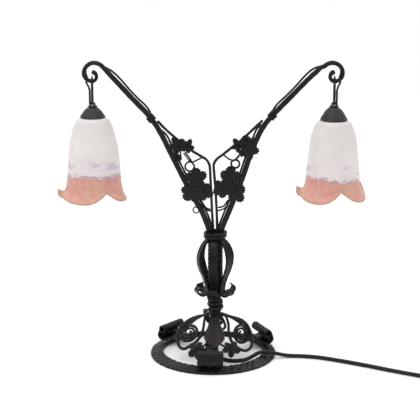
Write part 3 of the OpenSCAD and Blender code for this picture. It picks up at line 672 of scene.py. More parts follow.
# tie: a flat strap with a clasp round the turns
g = Geo()
ta = math.radians(120)
te, tt = A([math.cos(ta), math.sin(ta), 0]), A([-math.sin(ta), math.cos(ta), 0])
tc = A([COIL_C[0], COIL_C[1], 0]) + te * 33
loop = []
for k in range(72):
    w = k / 72 * 2 * math.pi
    cx_, cz_ = math.cos(w), math.sin(w)
    loop.append(tc + te * 7.3 * np.sign(cx_) * abs(cx_) ** 0.42 + A([0, 0, 9.2 + 9.45 * np.sign(cz_) * abs(cz_) ** 0.42]))
loop = A(loop)
loop[:, 2] = np.maximum(loop[:, 2], 0.62)
bar(g, loop, 2.7, 0.55, 0.35, tt, closed=True)
bar(g, A([tc + te * (-3.4) + A([0, 0, 19.5]), tc + te * 3.4 + A([0, 0, 19.5])]) + 0.0, 3.4, 1.1, 0.5, tt)
tie = make("coil_tie", g, "frame", "black_plastic_mat", "cord_tie", floor=True)


# ---------------------------------------------------------------- switch and plug
SW_A, SW_C = math.radians(-29), A([362, -136.4, 0])
sx, sy = A([math.cos(SW_A), math.sin(SW_A), 0]), A([-math.sin(SW_A), math.cos(SW_A), 0])


def sw(p):
    p = A(p).reshape(-1, 3)
    return SW_C + p[:, :1] * sx + p[:, 1:2] * sy + p[:, 2:] * A([0, 0, 1])


def case_half_width(x):
    return np.interp(np.abs(x), [0, 14, 18, 22, 25.5, 27.6, 28.7], [10.8, 10.7, 10.1, 9.0, 7.3, 5.6, 4.3])


def case_half(z0, z1, crown):
    """One half of the switch's case: a rounded loaf, with a chamfered seam."""
    xs = np.concatenate([np.linspace(-28.7, -22, 9)[:-1], np.linspace(-22, 22, 45), np.linspace(22, 28.7, 9)[1:]])
    n = 28
    V = []
    for x in xs:
        w = case_half_width(x)
        top = crown * (1 - 0.42 * (abs(x) / 28.7) ** 5)
        ring = []
        for k in range(n + 1):
            a = math.pi * k / n
            cx_, sz_ = math.cos(a), math.sin(a)
            ring.append((x, w * np.sign(cx_) * abs(cx_) ** 0.5, top * abs(sz_) ** 0.42))
        V.append(ring)
    V = A(V)
    m = len(xs)
    rows = V.reshape(-1, 3)
    q = grid_faces(m, n + 1, close_cols=True)
    ends = []
    c0, c1 = len(rows), len(rows) + 1
    rows = np.concatenate([rows, [V[0].mean(0)], [V[-1].mean(0)]])
    j = np.arange(n + 1)
    t = np.concatenate([np.stack([np.full(n + 1, c0), (j + 1) % (n + 1), j], 1),
                        np.stack([np.full(n + 1, c1), (m - 1) * (n + 1) + j, (m - 1) * (n + 1) + (j + 1) % (n + 1)], 1)])
    if z1 > z0:
        rows[:, 2] = z0 + rows[:, 2]
    else:
        rows[:, 2] = z0 - rows[:, 2]
    return rows, q, t


def bool_cut(o, cutters):
    """Cuts closed meshes out of o with the exact solver, and applies it."""
    for c in cutters:
        md = o.modifiers.new("cut", 'BOOLEAN')
        md.operation = 'DIFFERENCE'
        md.solver = 'EXACT'
        md.object = c
    bpy.context.view_layer.update()
    dg = bpy.context.evaluated_depsgraph_get()
    me = bpy.data.meshes.new_from_object(o.evaluated_get(dg))
    o.modifiers.clear()
    old = o.data
    o.data = me
    me.name = old.name + "_cut"
    for c in cutters:
        bpy.data.objects.remove(c)


def loose(name, g):
    v, q, t = g.get()
    m = bpy.data.meshes.new(name)
    m.from_pydata([tuple(x) for x in v / 1000], [], [tuple(int(i) for i in f) for f in q] + [tuple(int(i) for i in f) for f in t])
    o = bpy.data.objects.new(name, m)
    scene.collection.objects.link(o)
    return o


g = Geo()
v, q, t = case_half(9.05, 16.2, 6.9)
g.add(sw(v), q, t)
upper = make("switch_top_shell", g, "frame", "black_plastic_mat", "switch_upper_case")
cut = Geo()
c_, s_ = circle(56)
for x0, x1, hx, hy, z0, z1 in ((0, 0, 9.2, 4.75, 3, 20),):
    P = A([sw((0, 0, z0))[0], sw((0, 0, z1))[0]])
    tx, ty, cx, cy = rrect(4, 3, 5)
    X, Y = (hx - 1.2) * tx + 1.2 * cx, (hy - 1.2) * ty + 1.2 * cy
    v, q, t = sweep(P, X[None], Y[None], tuple(sx), True, dome=(0.01, 0.01), nd=1)
    cut.add(v, q, t)
bool_cut(upper, [loose("switch_window_cutter", cut)])
g = Geo()
v, q, t = case_half(8.95, 0.05, 8.85)
g.add(sw(v), q, t)
lower = make("switch_bottom_shell", g, "frame", "black_plastic_mat", "switch_lower_case", floor=True)
cut = Geo()
P = A([sw((0, 0, 2.4))[0], sw((0, 0, 12))[0]])
v, q, t = sweep(P, X[None], Y[None], tuple(sx), True, dome=(0.01, 0.01), nd=1)
cut.add(v, q, t)
bool_cut(lower, [loose("switch_well_cutter", cut)])
# rocker: a rounded key with a shallow dish and three grip ridges at its raised end
g = Geo()
xs = np.linspace(-8.35, 8.35, 41)
prof = []
for x in xs:
    top = math.sqrt(max(8.5 ** 2 - x * x, 0.0)) * 0.55 + 2.7
    top = min(top, 6.3 + 0.02 * x * x) - 0.55 * math.exp(-((x / 3.2) ** 2))
    top = min(top, math.sqrt(max(8.62 ** 2 - x * x, 0.04)))
    if 4.2 < x < 7.4:
        top += 0.16 * math.sin((x - 4.2) / 3.2 * 6 * math.pi)
    prof.append((x, max(top, 1.3)))
outline = [(x, 0.9) for x in xs[::-1]]
pts = A(prof + outline)
ca, sa_ = math.cos(math.radians(7)), math.sin(math.radians(7))
rx = pts[:, 0] * ca + pts[:, 1] * sa_
rz = -pts[:, 0] * sa_ + pts[:, 1] * ca
ys = [-4.1, -3.85, -3.2, 0, 3.2, 3.85, 4.1]
sc = [0.965, 0.99, 1, 1, 1, 0.99, 0.965]
V = A([[(x * s, y, 9 + z * s) for x, z in zip(rx, rz)] for y, s in zip(ys, sc)])
k = len(rx)
rows = V.reshape(-1, 3)
q = grid_faces(len(ys), k)
rows = np.concatenate([rows, [V[0].mean(0)], [V[-1].mean(0)]])
j = np.arange(k)
t = np.concatenate([np.stack([np.full(k, len(rows) - 2), (j + 1) % k, j], 1), np.stack([np.full(k, len(rows) - 1), (len(ys) - 1) * k + j, (len(ys) - 1) * k + (j + 1) % k], 1)])
g.add(sw(rows), q, t)
wire(g, sw([(0, -6.1, 9), (0, 6.1, 9)]), 1.45, n=20, up=(0, 0, 1), raw=True)
wire(g, sw([(0, -4.0, 9), (0, 4.0, 9)]), 3.1, n=28, up=(0, 0, 1), raw=True)
rocker = make("switch_key", g, "switch_rocker", "rocker_mat", "switch_rocker")


def relief(g, p0, p1, r0, r1, ribs):
    """Tapered sleeve with ring grooves, from the housing at p0 to its tip at p1."""
    p0, p1 = A(p0), A(p1)
    n = 46
    f = np.linspace(0, 1, n)
    P = p0 + (p1 - p0) * f[:, None]
    r = r0 + (r1 - r0) * f ** 0.85
    r = r - 0.32 * (np.sin(f * ribs * 2 * math.pi) > 0.25) * (f > 0.08) * (f < 0.95)
    c, s = circle(24)
    v, q, t = sweep(P, r[:, None] * c, r[:, None] * s, (0, 0, 1), dome=(0.4, 0.5), nd=2)
    g.add(v, q, t)


sw_end_a, sw_end_b = sw((-28.2, 0, 8.0))[0], sw((28.2, 0, 8.0))[0]
line_a = curve(CORD_A, 1.0)
line_b = curve(CORD_B + coil_pts + CORD_C, 1.0)


def relief_along(g, line, r0, r1, length, ribs):
    s = arclen(line)
    m = int(np.searchsorted(s, length))
    P = line[:m]
    f = np.linspace(0, 1, m)
    r = r0 + (r1 - r0) * f ** 0.85
    r = r - 0.30 * (np.sin(f * ribs * 2 * math.pi) > 0.25) * (f > 0.1) * (f < 0.94)
    c, s_ = circle(24)
    v, q, t = sweep(P, r[:, None] * c, r[:, None] * s_, (0, 0, 1), dome=(0.4, 0.5), nd=2)
    g.add(v, q, t)


g = Geo()
relief_along(g, line_a[::-1], 4.25, 3.35, 21, 6)
relief_a = make("switch_relief_in", g, "frame", "rubber_mat", floor=True)
g = Geo()
relief_along(g, line_b, 4.25, 3.35, 21, 6)
relief_b = make("switch_relief_out", g, "frame", "rubber_mat", floor=True)

# plug: a waisted two-pin body with grip ribs, and its tapered sleeve
PC = A([474, -70, 6.95])
g = Geo()
ys = np.concatenate([np.linspace(-18, -12, 5)[:-1], np.linspace(-12, 15, 46), np.linspace(15, 18, 7)[1:]])
hw = np.interp(ys, [-18, -15, -12, -8, -3, 2, 9, 15, 17, 18], [6.4, 7.2, 9.4, 13.2, 15.6, 16.4, 17.0, 17.2, 16.6, 15.2])
hh = np.interp(ys, [-18, -15, -12, -8, 0, 15, 17, 18], [5.4, 6.0, 6.4, 6.75, 6.8, 6.8, 6.4, 5.6])
ring = []
n = 56
for y, w, h in zip(ys, hw, hh):
    rib = 0.45 * (1 if (math.sin((y + 9) * 2 * math.pi / 3.2) > 0.2 and -8 < y < 8) else 0)
    a = np.arange(n) / n * 2 * math.pi
    c, s = np.cos(a), np.sin(a)
    X = (w - rib * (np.abs(c) > 0.75)) * np.sign(c) * np.abs(c) ** 0.42
    Z = h * np.sign(s) * np.abs(s) ** 0.55
    ring.append(np.stack([PC[0] + X, np.full(n, PC[1] + y), PC[2] + Z], 1))
V = A(ring)
rows = np.concatenate([V.reshape(-1, 3), [V[0].mean(0)], [V[-1].mean(0)]])
j = np.arange(n)
m = len(ys)
q = grid_faces(m, n)
t = np.concatenate([np.stack([np.full(n, m * n), (j + 1) % n, j], 1), np.stack([np.full(n, m * n + 1), (m - 1) * n + j, (m - 1) * n + (j + 1) % n], 1)])
g.add(rows, q, t)
plug = make("plug_shell", g, "frame", "black_plastic_mat", "plug_body", floor=True)
g = Geo()
relief_along(g, line_b[::-1], 5.2, 3.4, 24, 7)
relief_c = make("plug_relief", g, "frame", "rubber_mat", floor=True)
g = Geo()
for s in (-1, 1):
    x = PC[0] + s * 9.3
    wire(g, A([(x, PC[1] + 17.0, PC[2]), (x, PC[1] + 27.5, PC[2])]), 2.0, n=24, raw=True, up=(0, 0, 1))
    P = A([(x, PC[1] + 27.6 + 9.2 * f, PC[2]) for f in np.linspace(0, 1, 12)])
    c, s_ = circle(24)
    r = np.full(12, 2.0)
    r[-2:] = (1.9, 1.55)
    v, q, t = sweep(P, r[:, None] * c, r[:, None] * s_, (0, 0, 1), dome=(0.02, 0.8), nd=3)
    g.add(v, q, t)
pins = make("plug_pin_pair", g, "frame", "nickel_mat", "plug_pins")

# ---------------------------------------------------------------- base
AZ = {"front": -93.0, "right": 24.0, "left": 142.0}


def polar(az):
    a = math.radians(az)
    return A([math.cos(a), math.sin(a), 0]), A([-math.sin(a), math.cos(a), 0])


n = 900
th = np.arange(n) / n * 2 * math.pi
P = np.stack([90 * np.cos(th), 90 * np.sin(th), np.full(n, 3.0)], 1)
er = np.stack([np.cos(th), np.sin(th), np.zeros(n)], 1)
g = Geo()
bar(g, P, 10.0, 3.0, 1.25, er, na=20, nb=4, nc=3, closed=True)
v, q, t = g.get()
rr = np.hypot(v[:, 0], v[:, 1])
# the top slopes down outwards
v[:, 2] *= np.clip(8.6 - (rr - 81.5) * 4.4 / 17, 4.1, 8.6) / 6
nrm = normals(v, q, t)
aa = np.arctan2(v[:, 1], v[:, 0])
# faces left by the hammer, laid slantwise across the bar, with a ridge between neighbours
ph = aa * 91 / 11.9 + (rr - 91) / 15.0 + 0.55 * noise(v, 26, 5) + 0.16 * noise(v, 7, 6)
f = ph - np.floor(ph)
deep = 0.55 + 0.45 * hash01(np.floor(ph).astype(np.int64), np.zeros(len(v), np.int64), np.zeros(len(v), np.int64), 9)
face = -1.85 * deep * (1 - (2 * f - 1) ** 2) - 0.25 * np.exp(-((np.minimum(f, 1 - f)) / 0.07) ** 2)
upw = np.clip(nrm[:, 2] * 1.6 + 0.35, 0, 1)
outw = np.clip((v * nrm)[:, :2].sum(1) / rr, 0, 1) * 0.55
v = v + nrm * (face * np.maximum(upw, outw))[:, None]
v = v + nrm * ((0.22 * noise(v, 12, 8) - 0.28 * dents(v, 5, 4) + 0.05 * noise(v, 1.4, 2)) * (nrm[:, 2] > -0.5))[:, None]
g.v = [v]
make("iron_base_ring", g, "frame", "black_iron_mat", "base_ring", floor=True)

LEG = [(6.6, 64.5), (14, 63), (24, 58.5), (34, 52), (43, 45.5), (52, 37.5), (60, 29.5), (67, 21.5), (73.5, 14.8),
       (79, 11.6), (84.5, 10.7), (89, 10.9), (92.8, 13), (94.2, 17.5), (93.2, 22.5), (91.4, 27)]


def arch(az):
    return [(r + SX * math.cos(math.radians(az)) * max(0, min(1, (z - 14) / 50)), z) for r, z in LEG]


def leg_line(az):
    top = spline(arch(az), 12)
    a = np.radians(np.linspace(4, 348, 70))
    r = np.linspace(5.2, 5.0, 70)
    roll = np.stack([86.4 + r * np.cos(a), 27.2 + r * np.sin(a)], 1)
    return resample(np.concatenate([top, roll]), 1.15)


def build_leg(name, az, seed):
    e_r, e_t = polar(az)
    L = leg_line(az)
    hl = 20 if name == "front_leg" else 25
    dt = -SX * math.sin(math.radians(az))
    s = arclen(L)
    i_foot = int(np.argmax(L[:, 0] > 83.5))
    s_roll = s[-1] - 30.5
    w = np.interp(L[:, 0], [6.4, 15, 60, 72, 80, 84], [3.6, 8, 10.5, 13, hl - 1.5, hl])
    w[i_foot:] = hl
    w = w + np.where(np.arange(len(w)) > i_foot, 0.35 * np.sin(s * 0.9 + seed), 0.25 * np.sin(s * 0.7 + seed))
    th_ = np.interp(s, [0, s[i_foot], s_roll, s[-1]], [2.0, 1.8, 1.55, 1.45])
    side = dt * np.interp(L[:, 0], [15, 60, 72], [1, 0.25, 0])
    P3 = L[:, :1] * e_r + L[:, 1:] * A([0, 0, 1]) + side[:, None] * e_t
    g = Geo()
    bar(g, P3, w, th_, np.minimum(th_ * 0.7, 1.3), e_t, na=56, nb=2, nc=3)
    v, q, t = g.get()
    nrm = normals(v, q, t)
    across = v @ e_t
    rad = v @ e_r
    on_roll = np.clip((np.hypot(rad - 86.4, v[:, 2] - 27.2) < 7.6).astype(float), 0, 1)
    ang = np.arctan2(v[:, 2] - 27.2, rad - 86.4)
    outer = np.clip(((rad - 86.4) * (nrm @ e_r) + (v[:, 2] - 27.2) * nrm[:, 2]) / 5, 0, 1)
    ph = across / 4.3 + 0.10 * ang + 0.25 * noise(v, 14, seed) + seed * 0.3
    ridge = np.abs(2 * (ph - np.floor(ph)) - 1)
    groove = -1.05 * np.clip(1 - ridge / 0.46, 0, 1) ** 1.1
    v = v + nrm * (groove * on_roll * outer)[:, None]
    d = -0.42 * dents(v, 5.6, seed) * (1 - 0.6 * on_roll) + 0.22 * noise(v, 9, seed + 2) + 0.05 * noise(v, 1.2, seed)
    v = v + nrm * (d * (v[:, 2] > 9.4))[:, None]
    g.v = [v]
    make("iron_" + name, g, "frame", "black_iron_mat", name)


build_leg("front_leg", AZ["front"], 3)
build_leg("right_leg", AZ["right"], 5)
build_leg("left_leg", AZ["left"], 8)

g = Geo()
for az in AZ.values():
    e_r, _ = polar(az)
    c = e_r * 86.5
    lathe(g, [(0, 0.02), (1.9, 0.02), (2.15, 0.4), (2.15, 12.3), (3.7, 12.5), (3.75, 12.9), (3.2, 13.6), (1.9, 14.1), (0, 14.3)], (c[0], c[1]), 28, closed=False, step=0.5)
make("iron_foot_rivets", g, "frame", "black_iron_mat", "foot_rivets", floor=True)


# scroll panels between the legs: a coiled wire inside a drop-shaped loop, both run up to the stem
def scroll(name, O, U, V, loop, tail, seed, turn=0.0):
    O, U, V = A(O), A(U), A(V)
    a = np.radians(np.linspace(65 - 1035, 65, 160))
    r = np.linspace(3.0, 17.0, 160)
    sp = O + (r * np.cos(a))[:, None] * U + (r * np.sin(a))[:, None] * V
    P1 = curve(np.concatenate([sp[::4], A(tail)]), 1.1)
    P2 = curve(loop, 1.1)
    R = rot('z', turn)
    g = Geo()
    wire(g, P1 @ R.T, [1.7, 2.35, 2.6, 2.0], n=12, raw=True, up=(0.2, 0.3, 1))
    wire(g, P2 @ R.T, [2.0, 2.6, 2.5, 1.8], n=12, raw=True, up=(0.2, 0.3, 1))
    forge(g, 0.26, 3.6, 0.2, 5, 0.04, seed)
    make("iron_" + name, g, "frame", "black_iron_mat", name)


R_LOOP = [(10.5, -12, 69), (14.5, -14, 70), (20, -18, 66.5), (24, -24, 56.5), (24.5, -31, 44), (29.5, -38, 31.5), (39, -41, 22.5), (50, -39, 17.5),
          (58.5, -33, 20), (61.5, -26, 30.5), (58, -17, 44), (49.5, -10, 55.5), (36, -6, 61), (20, -5.2, 64.4), (13.4, -5, 64.6)]
R_TAIL = [(40, -15.5, 59.5), (31, -11, 63.5), (22, -9.6, 65.6), (15, -9, 66.4)]
L_LOOP = [(-9, -12, 69), (-12.5, -15, 68), (-14, -20, 60.5), (-16, -27, 47.5), (-19.5, -32, 39), (-28.5, -37, 30), (-37, -39, 25), (-45.5, -39, 20.5),
          (-53, -34, 22.5), (-57, -26, 34), (-53.5, -17, 45.5), (-41.5, -10, 56.5), (-27.5, -6, 62.5), (-15, -5, 64.6), (-8.4, -5, 64.6)]
L_TAIL = [(-33, -12, 58.5), (-25, -9.6, 62.5), (-17, -9, 65.4), (-9.5, -8.6, 66.4)]
scroll("right_base_scroll", (44.4, -26, 42.2), (0.8, 0.6, 0), (-0.156, 0.207, 0.966), R_LOOP, R_TAIL, 21)
scroll("left_base_scroll", (-38, -26, 43), (-0.906, 0.423, 0), (0.3, 0.64, 0.707), L_LOOP, L_TAIL, 22)
scroll("back_base_scroll", (44.4, -26, 42.2), (0.8, 0.6, 0), (-0.156, 0.207, 0.966), R_LOOP, R_TAIL, 23, turn=118)


# ---------------------------------------------------------------- leaves
def leaf(kind, s, seed, thick=1.3, cup=0.10, fold=0.10, twist=0.0, nr=26, na=220):
    """A chased sheet leaf. Returns (vertices, quads, tris) with its tip towards +Y and its face towards +Z."""
    ph = np.linspace(0, 2 * math.pi, na, endpoint=False)     # 0 at the tip
    rng = np.random.RandomState(seed)
    lob = 1 + 0.10 * np.sin(ph * 2 + rng.rand() * 6) * rng.rand() + 0.05 * np.sin(ph * 3 + rng.rand() * 6)
    if kind == "maple":
        r = 0.64 + 0.36 * np.abs(np.cos(2.5 * ph)) ** 1.2
        r = r * (1 + 0.10 * np.cos(ph))
        teeth = 0.13 * (np.abs(((ph * 25 / (2 * math.pi)) % 1) * 2 - 1) - 0.5)
    elif kind == "full":
        # broad lobes with shallow cuts between them
        r = 0.74 + 0.26 * np.abs(np.cos(2.5 * ph)) ** 0.85
        r = r * (1 + 0.08 * np.cos(ph))
        teeth = 0.10 * (np.abs(((ph * 25 / (2 * math.pi)) % 1) * 2 - 1) - 0.5)
    elif kind == "star":
        k = np.abs(np.sin(2.5 * ph)) ** 0.9
        r = 0.42 + 0.58 * (1 - k) ** 1.2
        teeth = 0.03 * (np.abs(((ph * 20 / (2 * math.pi)) % 1) * 2 - 1) - 0.5)
    else:
        # ovate with three shallow lobes
        r = 0.80 + 0.20 * np.cos(ph) - 0.08 * np.cos(2 * ph) + 0.085 * np.abs(np.cos(2.5 * ph)) ** 0.8
        teeth = 0.060 * (np.abs(((ph * 24 / (2 * math.pi)) % 1) * 2 - 1) - 0.5)
    r = (r + teeth) * lob * s
    f = (np.arange(1, nr + 1) / nr) ** 0.9
    x = f[:, None] * r * np.sin(ph)
    y = f[:, None] * r * np.cos(ph)
    # veins: a main one to each of five points, side veins off them, quilted between
    h = np.zeros_like(x)
    best = np.full(x.shape, 9.0)
    side = np.zeros_like(x)
    for k in range(5):
        a = k * 2 * math.pi / 5
        if kind == "ovate":
            a = (0, 0.72, -0.72, 1.75, -1.75)[k]
        dx, dy = math.sin(a), math.cos(a)
        al = x * dx + y * dy
        ac = np.abs(x * dy - y * dx)
        ok = al > 0
        d = np.where(ok, ac, 9.0)
        better = d < best
        best = np.where(better, d, best)
        side = np.where(better, al - ac * 0.9, side)
    h += -0.55 * np.exp(-(best / (0.055 * s)) ** 2)
    h += 0.34 * np.abs(np.sin(side / s * 4.6 * math.pi)) ** 0.7 * np.clip(best / (0.10 * s), 0, 1) * np.clip(1.1 - f[:, None], 0, 1) * 1.6
    h += 0.05 * s * np.clip(best / (0.30 * s), 0, 1) - 0.03 * s
    rad2 = (x * x + y * y) / s ** 2
    h += -cup * s * rad2 - fold * s * np.abs(x) / s * 0.5
    h += 0.05 * s * np.sin(ph * 5 + rng.rand() * 6)[None] * f[:, None] ** 3
    h += 0.045 * s * np.sin(ph * 3 + rng.rand() * 6)[None] * f[:, None] ** 2
    h += twist * x * y / s
    top = np.stack([x, y, h + thick / 2], -1)
    bot = np.stack([x, y, h - thick / 2], -1)
    # thin the very edge
    top[-1, :, 2] -= thick * 0.25
    bot[-1, :, 2] += thick * 0.25
    v = np.concatenate([top.reshape(-1, 3), bot.reshape(-1, 3), [[0, 0, thick / 2 - 0.4 - 0.03 * s]], [[0, 0, -thick / 2 - 0.4 - 0.03 * s]]])
    N = nr * na
    q1 = grid_faces(nr, na)
    q2 = grid_faces(nr, na)[:, ::-1] + N
    j = np.arange(na)
    e0 = (nr - 1) * na
    q3 = np.stack([e0 + j, N + e0 + j, N + e0 + (j + 1) % na, e0 + (j + 1) % na], 1)
    c0, c1 = 2 * N, 2 * N + 1
    t = np.concatenate([np.stack([np.full(na, c0), (j + 1) % na, j], 1), np.stack([np.full(na, c1), N + j, N + (j + 1) % na], 1)])
    q = np.concatenate([q1, q2[:, :], q3])
    return v, q, t


def put(v, c, M):
    return A(c) + v @ M.T


def facing(tilt):
    """Leaf frame that faces the viewer, turned by tilt in the lamp's plane."""
    return rot('x', 90) @ rot('z', tilt)


def fix_winding(g):
    """Returns g unchanged; it turns no faces."""
    return g


def add_leaf(g, kind, c, s, M, seed, **kw):
    v, q, t = leaf(kind, s, seed, **kw)
    w = put(v, c, M)
    g.add(w, q, t, closed=False)


# front leg leaf: long, narrow at the stem, broad over the arch, drawn to a point
def front_leaf():
    e_r, e_t = polar(AZ["front"])
    L = spline(arch(AZ["front"])[:10], 16)
    s = arclen(L)
    nu, nv = 110, 41
    f = np.linspace(0, 1, nu)
    ss = 2.0 + f * 66.0
    C = np.stack([np.interp(ss, s, L[:, 0]), np.interp(ss, s, L[:, 1])], 1)
    T = norm(np.gradient(C, axis=0))
    Nn = np.stack([-T[:, 1], T[:, 0]], 1)
    Nn = Nn * np.sign(Nn[:, 1:2] + 1e-9)
    half = np.interp(f, [0, 0.06, 0.2, 0.36, 0.5, 0.62, 0.72, 0.82, 0.9, 0.96, 1.0], [2.5, 5.0, 6.8, 9.6, 13.6, 16.6, 16.8, 14.0, 9.2, 5.0, 0.6])
    teeth = np.abs((f * 13) % 1 * 2 - 1)
    half = half - 1.7 * teeth * np.interp(f, [0, 0.2, 0.4, 1], [0.1, 0.4, 1, 1])
    t = np.linspace(-1, 1, nv)
    X = half[:, None] * t
    off = 2.0 + 1.5 + 0 * X
    off -= np.clip(np.abs(X) - 9.5, 0, 99) ** 1.6 * 0.11
    off += 0.75 * (1 - np.exp(-(X / 1.5) ** 2)) - 0.5
    ve = (f[:, None] * 73.0 - np.abs(X) * 0.95) / 8.2
    off += 0.55 * np.abs(np.sin(ve * math.pi)) ** 0.7 * np.clip(np.abs(X) / 3, 0, 1) * np.interp(f, [0, 0.2, 1], [0.4, 1, 1])[:, None]
    pts = (C[:, None, :1] * e_r + C[:, None, 1:] * A([0, 0, 1])) + (Nn[:, None, :1] * e_r + Nn[:, None, 1:] * A([0, 0, 1])) * off[..., None] + (X + np.interp(f, [0, 0.5, 1], [3.2, 4.2, 4.6])[:, None])[..., None] * e_t
    flat = pts.reshape(-1, 3)
    wob = 0.5 * noise(flat, 6.5, 31) + 0.18 * noise(flat, 2.2, 33)
    nn3 = (Nn[:, None, :1] * e_r + Nn[:, None, 1:] * A([0, 0, 1]))
    top = pts + nn3 * (0.7 + wob.reshape(nu, nv))[..., None]
    bot = pts + nn3 * (-0.7 + wob.reshape(nu, nv))[..., None]
    N = nu * nv
    v = np.concatenate([top.reshape(-1, 3), bot.reshape(-1, 3)])
    qt = grid_faces(nu, nv, close_cols=False)
    qb = qt[:, ::-1] + N
    i = np.arange(nu - 1)
    j = np.arange(nv - 1)
    sides = [np.stack([i * nv, (i + 1) * nv, N + (i + 1) * nv, N + i * nv], 1)]
    r = nv - 1
    sides.append(np.stack([i * nv + r, N + i * nv + r, N + (i + 1) * nv + r, (i + 1) * nv + r], 1))
    sides.append(np.stack([j, N + j, N + j + 1, j + 1], 1))
    b = (nu - 1) * nv
    sides.append(np.stack([b + j, b + j + 1, N + b + j + 1, N + b + j], 1))
    g = Geo()
    g.add(v, np.concatenate([qt, qb] + sides))
    make("iron_front_leaf", g, "frame", "brown_iron_mat", "front_leg_leaf")


front_leaf()

g = Geo()
add_leaf(g, "maple", (-25, -68, 29.5), 15.0, rot('z', -14) @ rot('x', 58) @ rot('z', 128), 41, cup=0.12)
add_leaf(g, "maple", (27, -68, 31.5), 14.0, rot('z', 14) @ rot('x', 58) @ rot('z', -112), 42, cup=0.12)
wire(g, [(-23, -67, 29.5), (-16, -63, 33.5), (-8.6, -55, 36.2)], [1.4, 1.7], n=10)
wire(g, [(24.5, -67, 31.5), (15.5, -63, 34), (9.2, -55, 36)], [1.4, 1.7], n=10)
make("iron_base_leaves", g, "frame", "black_iron_mat", "base_leaves")

# ---------------------------------------------------------------- stem
g = Geo()
hel = []
for k in range(0, 361):
    f = k / 360
    a = math.radians(-150 + f * 2.3 * 360)
    hel.append((SX + 8.5 * math.cos(a), 8.5 * math.sin(a), 74.6 + f * 17.8))
hel = curve(hel, 1.0, 2)
c, s = circle(20)
rr_ = np.full(len(hel), 4.45)
rr_ += 0.28 * np.sin(arclen(hel) * 1.5)
v, q, t = sweep(hel, rr_[:, None] * c * 0.93, rr_[:, None] * s * 1.07, (0, 0, 1), dome=(2.5, 2.5))
g.add(v, q, t)
lathe(g, [(5.2, 67.0), (9.0, 67.0), (9.2, 67.8), (9.2, 95), (10.4, 95.8), (10.9, 97.2), (10.9, 111), (10.4, 111.8), (5.2, 111.8)], (SX, 0), n=72, step=1.2)
forge(g, 0.35, 4.6, 0.2, 7, 0.05, 51)
make("iron_rope_collar", g, "frame", "black_iron_mat", "rope_collar")

# twisted core: five strands laid round the tube, so its edge is beaded
g = Geo()
zz = np.arange(112.8, 183.8, 0.62)
lay_r = np.interp(zz, [112.8, 116, 118, 184], [7.2, 7.5, 7.9, 7.9])
for k in range(5):
    a = np.radians(72 * k + (zz - 112.7) / 71.4 * 760)
    P = np.stack([SX + lay_r * np.cos(a), lay_r * np.sin(a), zz], 1)
    wire(g, P, 4.15, n=16, up=(0, 0, 1), raw=True)
forge(g, 0.22, 3.6, 0.12, 5, 0.04, 55)
make("iron_twisted_core", g, "frame", "cage_iron_mat", "twisted_core")

CAGE = [(10.8, 196.6), (11.6, 190.5), (16.5, 184.5), (21.5, 178.5), (25.8, 168.5), (27.6, 158.5), (26.6, 148), (23, 137),
        (18, 125), (14.6, 115), (13.4, 107.5), (13.8, 103.4), (16, 100.6), (20.4, 99.4), (25.4, 100), (29.4, 102.4), (31.4, 106.2), (30.6, 110), (27.6, 111.6)]
for k, nm in enumerate(("cage_bar_front", "cage_bar_right_front", "cage_bar_right_back", "cage_bar_back", "cage_bar_left_back", "cage_bar_left_front")):
    e_r, e_t = polar(-99 + 60 * k)
    L = curve(CAGE, 1.1)
    s = arclen(L)
    s = s / s[-1]
    i0 = s[int(np.argmax(L[:, 1] < 101.5))]
    w = np.interp(s, [0, 0.08, 0.3, 0.5, 0.62, i0, i0 + 0.1, 0.9, 1], [4.6, 5.1, 6.6, 6.5, 6.2, 6.0, 8.0, 8.8, 8.0])
    th_ = np.interp(s, [0, 0.6, 0.8, 1], [2.0, 1.95, 1.75, 1.2])
    P3 = L[:, :1] * e_r + L[:, 1:] * A([0, 0, 1]) + A([SX, 0, 0])

    def dish(X, Y, tx, ty, w=w):
        # the face is drawn down slightly hollow, so each edge stands as a ridge
        return X, Y - np.sign(Y) * 0.34 * np.clip(1 - (X / np.maximum(w[:, None] * 0.8, 1)) ** 2, 0, 1)

    g = Geo()
    bar(g, P3, w, th_, 0.9, e_t, na=20, nb=3, nc=3, dome=(0.5, 0.9), push=dish)
    forge(g, 0.30, 6.0, 0.25, 11, 0.05, 60 + k)
    make("iron_" + nm, g, "frame", "cage_iron_mat", nm)

# two-band collar, a little higher on the right
g = Geo()
n = 150
a = np.arange(n) / n * 2 * math.pi
c, s = circle(18)
for z, rr0, sd in ((193.5, 16.3, 0), (198.5, 16.1, 2)):
    wob = 0.25 * np.sin(a * 2 + sd) + 0.15 * np.sin(a * 5 + sd)
    P = np.stack([SX + (rr0 + wob) * np.cos(a), (rr0 + wob) * np.sin(a), z + 0.045 * rr0 * np.cos(a)], 1)
    er = np.stack([np.cos(a), np.sin(a), 0 * a], 1)
    v, q, t = sweep(P, 2.25 * np.sign(c) * np.abs(c) ** 0.8, 2.45 * np.sign(s) * np.abs(s) ** 0.75, er, True, True)
    g.add(v, q, t)
lathe(g, [(14.9, 191.6), (16.4, 191.6), (16.4, 200.2), (14.9, 200.2)], (SX, 0), n=90, step=0.9)
forge(g, 0.28, 4.5, 0.15, 6, 0.05, 71)
make("iron_top_collar", g, "frame", "cage_iron_mat", "top_collar")

